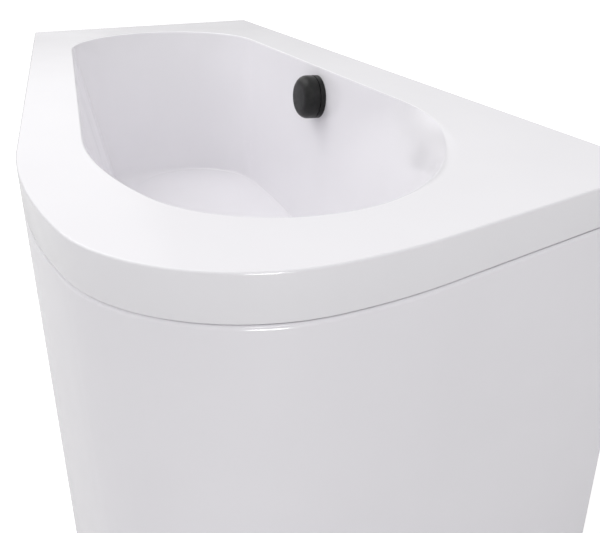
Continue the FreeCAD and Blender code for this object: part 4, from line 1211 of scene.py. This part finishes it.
@dataclass
class ApronPanel:
    """The one-piece panel round the room side.

    Attributes:
        plan: The tub seen from above.
        steps: Columns along each edge of the room side.
        sheet: Thickness of the panel.
        seam: Gap under the fascia.
        fascia: Depth of the rim's outer face.
        foot: Gap over the floor.
        returns: Width of the top and the foot return.
        round: Outer radius of the bends.
        bead: Angle of the top bend at which its bead ends.
        groove: Where the groove behind the bead starts and ends.
        groove_deep: Depth of the groove.
        groove_sheet: Thickness of the sheet round the groove.
        bead_lip: How far the bead's back edge drops.
        groove_bevel: Bevel of the groove's far edge.
        guard: How many times as far as a bend the next row of points lies on the face.
        bead_steps: Steps along the bead.
        bend_steps: Steps along each other bend.
        end_gap: Distance of the panel's ends from the corners.
    """

    plan: Plan
    steps: tuple[int, ...] = (24, 72, 60, 48, 10)
    sheet: float = 0.004
    seam: float = 0.002
    fascia: float = 0.05
    foot: float = 0.01
    returns: Span = (0.022, 0.03)
    round: float = 0.006
    bead: float = math.radians(60)
    groove: Span = (0.0038, 0.0066)
    groove_deep: float = 0.0045
    groove_sheet: float = 0.0019
    bead_lip: float = 0.0006
    groove_bevel: float = 0.0003
    guard: float = 1.2
    bead_steps: int = 8
    bend_steps: int = 6
    end_gap: float = 0.01

    def section(self) -> list[Span]:
        """Draw the panel's section.

        Returns:
            Distance behind the outer face and height of each corner, in order.
        """
        top = self.plan.height - self.fascia - self.seam
        low = self.foot
        big, thin = self.round, self.sheet
        small = big - thin
        quarter = [math.pi / 2 * step / self.bend_steps for step in range(self.bend_steps + 1)]
        bead = [self.bead * step / self.bead_steps for step in range(self.bead_steps + 1)]
        points = [(0.0, low + big * self.guard), (0.0, top - big * self.guard)]
        points += [(big - big * math.cos(a), top - big + big * math.sin(a)) for a in bead]
        near, far = self.groove
        bed = top - self.groove_deep
        bevel = self.groove_bevel
        points += [(near, points[-1][1] - self.bead_lip), (near, bed), (far, bed)]
        points += [(far, top - bevel), (far + bevel, top)]
        far += self.groove_sheet
        bed -= self.groove_sheet
        points += [(self.returns[0], top), (self.returns[0], top - thin)]
        points += [(far, top - thin), (far, bed)]
        points += [(big - small * math.sin(a), bed - small + small * math.cos(a)) for a in quarter]
        points += [(big - small * math.cos(a), low + big - small * math.sin(a)) for a in quarter]
        points += [(self.returns[1], low + thin), (self.returns[1], low)]
        points += [(big - big * math.sin(a), low + big - big * math.cos(a)) for a in quarter]
        return points

    def path(self) -> list[tuple[Vector, Vector]]:
        """Walk along the room side.

        Returns:
            Places along it, each with the way out.
        """
        edges = self.plan.room_side()
        first, last = edges[0], edges[-1]
        way = (first.end - first.start).normalized()
        edges[0] = Run(first.start + way * self.end_gap, first.end)
        way = (last.end - last.start).normalized()
        edges[-1] = Run(last.start, last.end - way * self.end_gap)
        counts = zip(edges, self.steps)
        places = [edge.at(step / count) for edge, count in counts for step in range(count)]
        return places + [edges[-1].at(1.0)]

    def build(self, shop: Paintshop) -> None:
        """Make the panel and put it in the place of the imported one.

        Args:
            shop: Where it gets its finish.
        """
        section = self.section()
        points = []
        path = self.path()
        for spot, out in path:
            points += [raised(spot - out * depth, height) for depth, height in section]
        rows = len(section)
        faces = quads(len(path), rows, False)
        faces.append(tuple(range(rows)))
        faces.append(tuple(len(points) - 1 - row for row in range(rows)))
        piece = piece_of("apron_skin", points, faces)
        shop.fit(piece, Look.PANEL, "tub", "apron_panel")
        shop.dress(
            {
                "panel_clips": Look.STEEL,
                "clip_screws": Look.FASTENER,
                "panel_stays": Look.STEEL,
                "stay_screws": Look.FASTENER,
            }
        )


@dataclass
class Underframe:
    """The board under the floor and the two rails that carry the feet.

    Attributes:
        looks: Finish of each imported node.
    """

    looks: dict[str, Look] = field(
        default_factory=lambda: {
            "base_board": Look.BOARD,
            "foot_rail": Look.STEEL,
            "head_rail": Look.STEEL,
            "rail_screws": Look.FASTENER,
        }
    )

    def build(self, shop: Paintshop) -> None:
        """Give the board, the rails and their screws their finishes."""
        shop.dress(self.looks)


@dataclass
class LevellingFeet:
    """Four threaded studs with pads, and the nuts that lock them.

    Attributes:
        legs: Names of the feet.
        stud: Radius of the stud over its thread.
        groove: Depth of the thread.
        pitch: Rise of the thread in one turn.
        turn_rows: Rows of points to one turn of the thread, a root and a crest.
        columns: Number of places round a stud.
        pad_corners: Radius, height and rounding of each corner of a pad.
    """

    legs: tuple[str, ...] = ("foot_front", "foot_wall", "head_front", "head_wall")
    stud: float = 0.006
    groove: float = 0.001
    pitch: float = 0.0025
    turn_rows: int = 2
    columns: int = 24
    pad_corners: tuple[Triple, ...] = (
        (0.0, 0.0, 0.0),
        (0.025, 0.0, 0.0012),
        (0.025, 0.008, 0.002),
        (0.012, 0.016, 0.003),
        (0.012, 0.026, 0.0012),
        (0.006, 0.026, 0.0),
        (0.006, 0.01, 0.0),
        (0.0, 0.01, 0.0),
    )

    def thread(self, name: str, foot: Vector, length: float) -> bpy.types.Object:
        """Cut a stud's thread.

        Args:
            name: Name of the piece.
            foot: Middle of the stud's lower end.
            length: Length of the stud.

        Returns:
            The new object.
        """
        count, turn = self.columns, self.turn_rows
        half = self.pitch / turn
        joined = math.ceil(length / half)
        points: list[Vector] = []
        for row in range(joined + turn + 1):
            for column in range(count):
                angle = math.tau * column / count
                rise = (row - turn + turn * column / count) * half
                cut = row % turn == 0 or not half < rise < length - half
                radius = self.stud - self.groove if cut else self.stud
                height = min(max(rise, 0.0), length)
                spot = Vector((radius * math.cos(angle), radius * math.sin(angle), height))
                points.append(foot + spot)
        faces: list[Face] = []
        for row in range(joined):
            for column in range(count):
                over = (column + 1) // count
                beside = (row + turn * over) * count + (column + 1) % count
                here = row * count + column
                faces.append((here, beside, beside + count, here + count))
        return piece_of(name, points, faces)

    def build(self, shop: Paintshop) -> None:
        """Make the studs and pads and finish the nuts.

        Args:
            shop: Where they get their finishes.
        """
        pad = rounded(self.pad_corners)
        for leg in self.legs:
            low, high = (Vector(corner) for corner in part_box(leg + "_stud"))
            foot = Vector(((low.x + high.x) / 2, (low.y + high.y) / 2, low.z))
            stud = self.thread(leg + "_thread", foot, high.z - low.z)
            shop.fit(stud, Look.FASTENER, leg + "_leg", leg + "_stud")
            ground = Vector((foot.x, foot.y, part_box(leg + "_pad")[0][2]))
            sole = turned(leg + "_sole", pad, ground, UPWARD)
            shop.fit(sole, Look.FOOT, leg + "_leg", leg + "_pad")
        shop.dress({"lock_nuts": Look.FASTENER})


@dataclass
class OverflowControl:
    """The black knob over the overflow, its ring and the works behind the wall.

    Attributes:
        radius: Radius of the knob.
        span: Where the knob begins and ends, from the wall.
        front_edge: Radius of its front edge.
        back_edge: Radius of its back edge.
        wall: Thickness of its wall.
        looks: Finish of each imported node.
    """

    radius: float = 0.041
    span: Span = (0.0108, 0.0393)
    front_edge: float = 0.017
    back_edge: float = 0.0015
    wall: float = 0.004
    looks: dict[str, Look] = field(
        default_factory=lambda: {
            "overflow_body": Look.FITTING,
            "overflow_gasket": Look.RUBBER,
            "overflow_ring": Look.CONTROL,
            "knob_carrier": Look.FITTING,
            "knob_spindle": Look.FASTENER,
            "cable_drum": Look.FITTING,
        }
    )

    def build(self, shop: Paintshop) -> None:
        """Turn the knob and finish the rest.

        Args:
            shop: Where they get their finishes.
        """
        seat, axis = knob_axis()
        back, front = self.span
        inner = self.radius - self.wall
        knob = rounded(
            (
                (0.0, front, 0.0),
                (self.radius, front, self.front_edge),
                (self.radius, back, self.back_edge),
                (inner, back, 0.0),
                (inner, front - self.front_edge, 0.0),
                (0.0, front - self.wall, 0.0),
            )
        )
        shop.fit(turned("knob_cap", knob, seat, axis), Look.CONTROL, "knob", "overflow_knob")
        shop.dress(self.looks)


@dataclass
class PipeRun:
    """The pipes from the overflow and from the waste to the trap's outlet.

    Attributes:
        looks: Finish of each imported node.
    """

    looks: dict[str, Look] = field(
        default_factory=lambda: {
            "pipe_elbow": Look.PIPE,
            "overflow_pipe": Look.PIPE,
            "cross_pipe": Look.PIPE,
            "pipe_slip_nuts": Look.NUT,
            "trap_bend": Look.PIPE,
            "outlet_elbow": Look.PIPE,
            "trap_slip_nuts": Look.NUT,
        }
    )

    def build(self, shop: Paintshop) -> None:
        """Give the pipes and their nuts their finishes."""
        shop.dress(self.looks)


@dataclass
class Waste:
    """The pop-up waste: flange, body, lever and plug.

    Attributes:
        cap_corners: Radius, height and rounding of each corner of the plug's cap.
        looks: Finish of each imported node.
    """

    cap_corners: tuple[Triple, ...] = (
        (0.0, 0.005, 0.0),
        (0.024, 0.005, 0.012),
        (0.031, 0.003, 0.0012),
        (0.031, 0.0, 0.0004),
        (0.0, 0.0, 0.0),
    )
    looks: dict[str, Look] = field(
        default_factory=lambda: {
            "waste_flange": Look.CHROME,
            "flange_gasket": Look.RUBBER,
            "body_gasket": Look.RUBBER,
            "waste_body": Look.FITTING,
            "lever_pin": Look.FASTENER,
            "lift_lever": Look.FITTING,
            "plug_seal": Look.RUBBER,
            "plug_stem": Look.CHROME,
        }
    )

    def build(self, shop: Paintshop) -> None:
        """Turn the plug's cap and finish the rest.

        Args:
            shop: Where they get their finishes.
        """
        low, high = (Vector(corner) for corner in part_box("plug_cap"))
        seat = Vector(((low.x + high.x) / 2, (low.y + high.y) / 2, low.z))
        cap = turned("plug_dome", rounded(self.cap_corners), seat, UPWARD)
        shop.fit(cap, Look.CHROME, "plug", "plug_cap")
        shop.dress(self.looks)


@dataclass(frozen=True)
class Softbox:
    """Lamp behind a rectangle of white cloth.

    Attributes:
        name: Name of the lamp.
        place: Where it hangs.
        target: What it points at.
        size: Width and height of the cloth.
        glow: Radiance of the cloth.
        gleam_only: True for a card that shows in gloss and gives no other light.
    """

    name: str
    place: Triple
    target: Triple
    size: Span
    glow: float
    gleam_only: bool = False

    def hang(self) -> None:
        """Hang the lamp up."""
        lamp = bpy.data.lights.new(self.name, "AREA")
        lamp.shape = "RECTANGLE"
        lamp.size, lamp.size_y = self.size
        lamp.energy = self.glow * math.pi * lamp.size * lamp.size_y
        holder = bpy.data.objects.new(self.name, lamp)
        holder.location = self.place
        aim = Vector(self.target) - Vector(self.place)
        holder.rotation_euler = aim.to_track_quat("-Z", "Y").to_euler()
        holder.visible_diffuse = not self.gleam_only
        bpy.context.collection.objects.link(holder)


@dataclass
class Studio:
    """Floor, lamps, sky and camera.

    Attributes:
        floor_half: Half of the floor's side.
        floor_tones: Darkest and lightest grey of the floor.
        floor_stops: Where they lie on the floor's cloudy pattern.
        floor_rough: Lowest and highest roughness of the floor.
        floor_clouds: Clouds of tone and of gloss to the metre.
        floor_lift: Light added to the floor where the camera sees it.
        sky: Radiance of the sky near the horizon and overhead.
        sky_span: Heights, as sines, between which the sky brightens.
        eye: Place of the camera.
        gaze: Direction in which it looks.
        lens: Focal length in millimetres.
        sensor: Width of the sensor in millimetres.
        sight: How far the camera sees.
        lamps: The soft lamps.
    """

    floor_half: float = 30.0
    floor_tones: Span = (0.74, 0.76)
    floor_stops: Span = (0.3, 0.7)
    floor_rough: Span = (0.7, 0.8)
    floor_clouds: Span = (3.0, 20.0)
    floor_lift: float = 0.55
    sky: Span = (0.29, 0.76)
    sky_span: Span = (0.11, 0.18)
    eye: Triple = (1.284, -0.4, 0.8713)
    gaze: Triple = (-0.8243, 0.3715, -0.4271)
    lens: float = 45.906
    sensor: float = 36.0
    sight: float = 100.0
    lamps: tuple[Softbox, ...] = (
        Softbox("window_softbox", (-2.9, -0.7, 1.9), (0.0, 0.0, 0.5), (2.6, 1.7), 0.32),
        Softbox("over_softbox", (-1.0, -0.9, 2.6), (0.1, 0.0, 0.5), (1.8, 1.8), 1.75),
        Softbox("near_softbox", (-1.8, -2.2, 2.2), (0.2, 0.1, 0.4), (1.6, 1.6), 0.85),
        Softbox("front_softbox", (2.35, -0.6, 2.2), (0.7, -0.2, 0.55), (0.9, 0.45), 5.7),
        Softbox("gleam_card", (2.87, -0.71, 0.49), (0.74, -0.18, 0.58), (0.78, 0.3), 50.0, True),
    )

    def lay_floor(self) -> None:
        """Lay a pale floor that the camera sees as white outside the shadow."""
        half = self.floor_half
        mesh = bpy.data.meshes.new("floor")
        corners = [(-half, -half, 0.0), (half, -half, 0.0), (half, half, 0.0), (-half, half, 0.0)]
        mesh.from_pydata(corners, [], [(0, 1, 2, 3)])
        sheet = bpy.data.objects.new("floor", mesh)
        bpy.context.collection.objects.link(sheet)
        shading = Shading("pale_floor")
        greys = [(tone, tone, tone) for tone in self.floor_tones]
        tone_scale, rough_scale = self.floor_clouds
        shading.tones(shading.noise(tone_scale), list(zip(self.floor_stops, greys)))
        shading.gloss(shading.noise(rough_scale), self.floor_rough)
        rays = shading.nodes.new("ShaderNodeLightPath")
        lift = shading.nodes.new("ShaderNodeMapRange")
        lift.inputs["To Max"].default_value = self.floor_lift
        shading.links.new(rays.outputs["Is Camera Ray"], lift.inputs["Value"])
        shading.surface.inputs["Emission Color"].default_value = (1.0, 1.0, 1.0, 1.0)
        shading.links.new(lift.outputs["Result"], shading.surface.inputs["Emission Strength"])
        mesh.materials.append(shading.material)

    def raise_sky(self) -> None:
        """Surround the tub with white cloth that is dimmer near the horizon."""
        world = bpy.data.worlds.new("studio")
        world.use_nodes = True
        nodes = world.node_tree.nodes
        links = world.node_tree.links
        nodes.clear()
        output = nodes.new("ShaderNodeOutputWorld")
        way = nodes.new("ShaderNodeTexCoord")
        parts = nodes.new("ShaderNodeSeparateXYZ")
        level = nodes.new("ShaderNodeMapRange")
        level.interpolation_type = "SMOOTHSTEP"
        for end, height, radiance in zip(("Min", "Max"), self.sky_span, self.sky):
            level.inputs["From " + end].default_value = height
            level.inputs["To " + end].default_value = radiance
        light = nodes.new("ShaderNodeBackground")
        view = nodes.new("ShaderNodeBackground")
        for back in (light, view):
            back.inputs["Color"].default_value = (1.0, 1.0, 1.0, 1.0)
        rays = nodes.new("ShaderNodeLightPath")
        either = nodes.new("ShaderNodeMixShader")
        links.new(way.outputs["Generated"], parts.inputs["Vector"])
        links.new(parts.outputs["Z"], level.inputs["Value"])
        links.new(level.outputs["Result"], light.inputs["Strength"])
        links.new(rays.outputs["Is Camera Ray"], either.inputs["Fac"])
        links.new(light.outputs["Background"], either.inputs[1])
        links.new(view.outputs["Background"], either.inputs[2])
        links.new(either.outputs["Shader"], output.inputs["Surface"])
        bpy.context.scene.world = world

    def set_camera(self) -> None:
        """Set the camera where the picture was taken from."""
        data = bpy.data.cameras.new("camera")
        data.lens = self.lens
        data.sensor_width = self.sensor
        data.clip_end = self.sight
        holder = bpy.data.objects.new("camera", data)
        holder.location = self.eye
        holder.rotation_euler = Vector(self.gaze).to_track_quat("-Z", "Y").to_euler()
        bpy.context.collection.objects.link(holder)
        bpy.context.scene.camera = holder

    def build(self) -> None:
        """Set the whole studio up."""
        self.lay_floor()
        self.raise_sky()
        for lamp in self.lamps:
            lamp.hang()
        self.set_camera()
        bpy.context.scene.view_settings.view_transform = "Standard"
        log.info("studio set up")


def main() -> None:
    """Dress the tub piece by piece and set the studio up."""
    logging.basicConfig(level=logging.INFO, format="%(message)s")
    shop = Paintshop()
    plan = Plan()
    for assembly in (
        TubShell(plan),
        ApronPanel(plan),
        Underframe(),
        LevellingFeet(),
        OverflowControl(),
        PipeRun(),
        Waste(),
    ):
        assembly.build(shop)
    Studio().build()


if __name__ == "__main__":
    main()
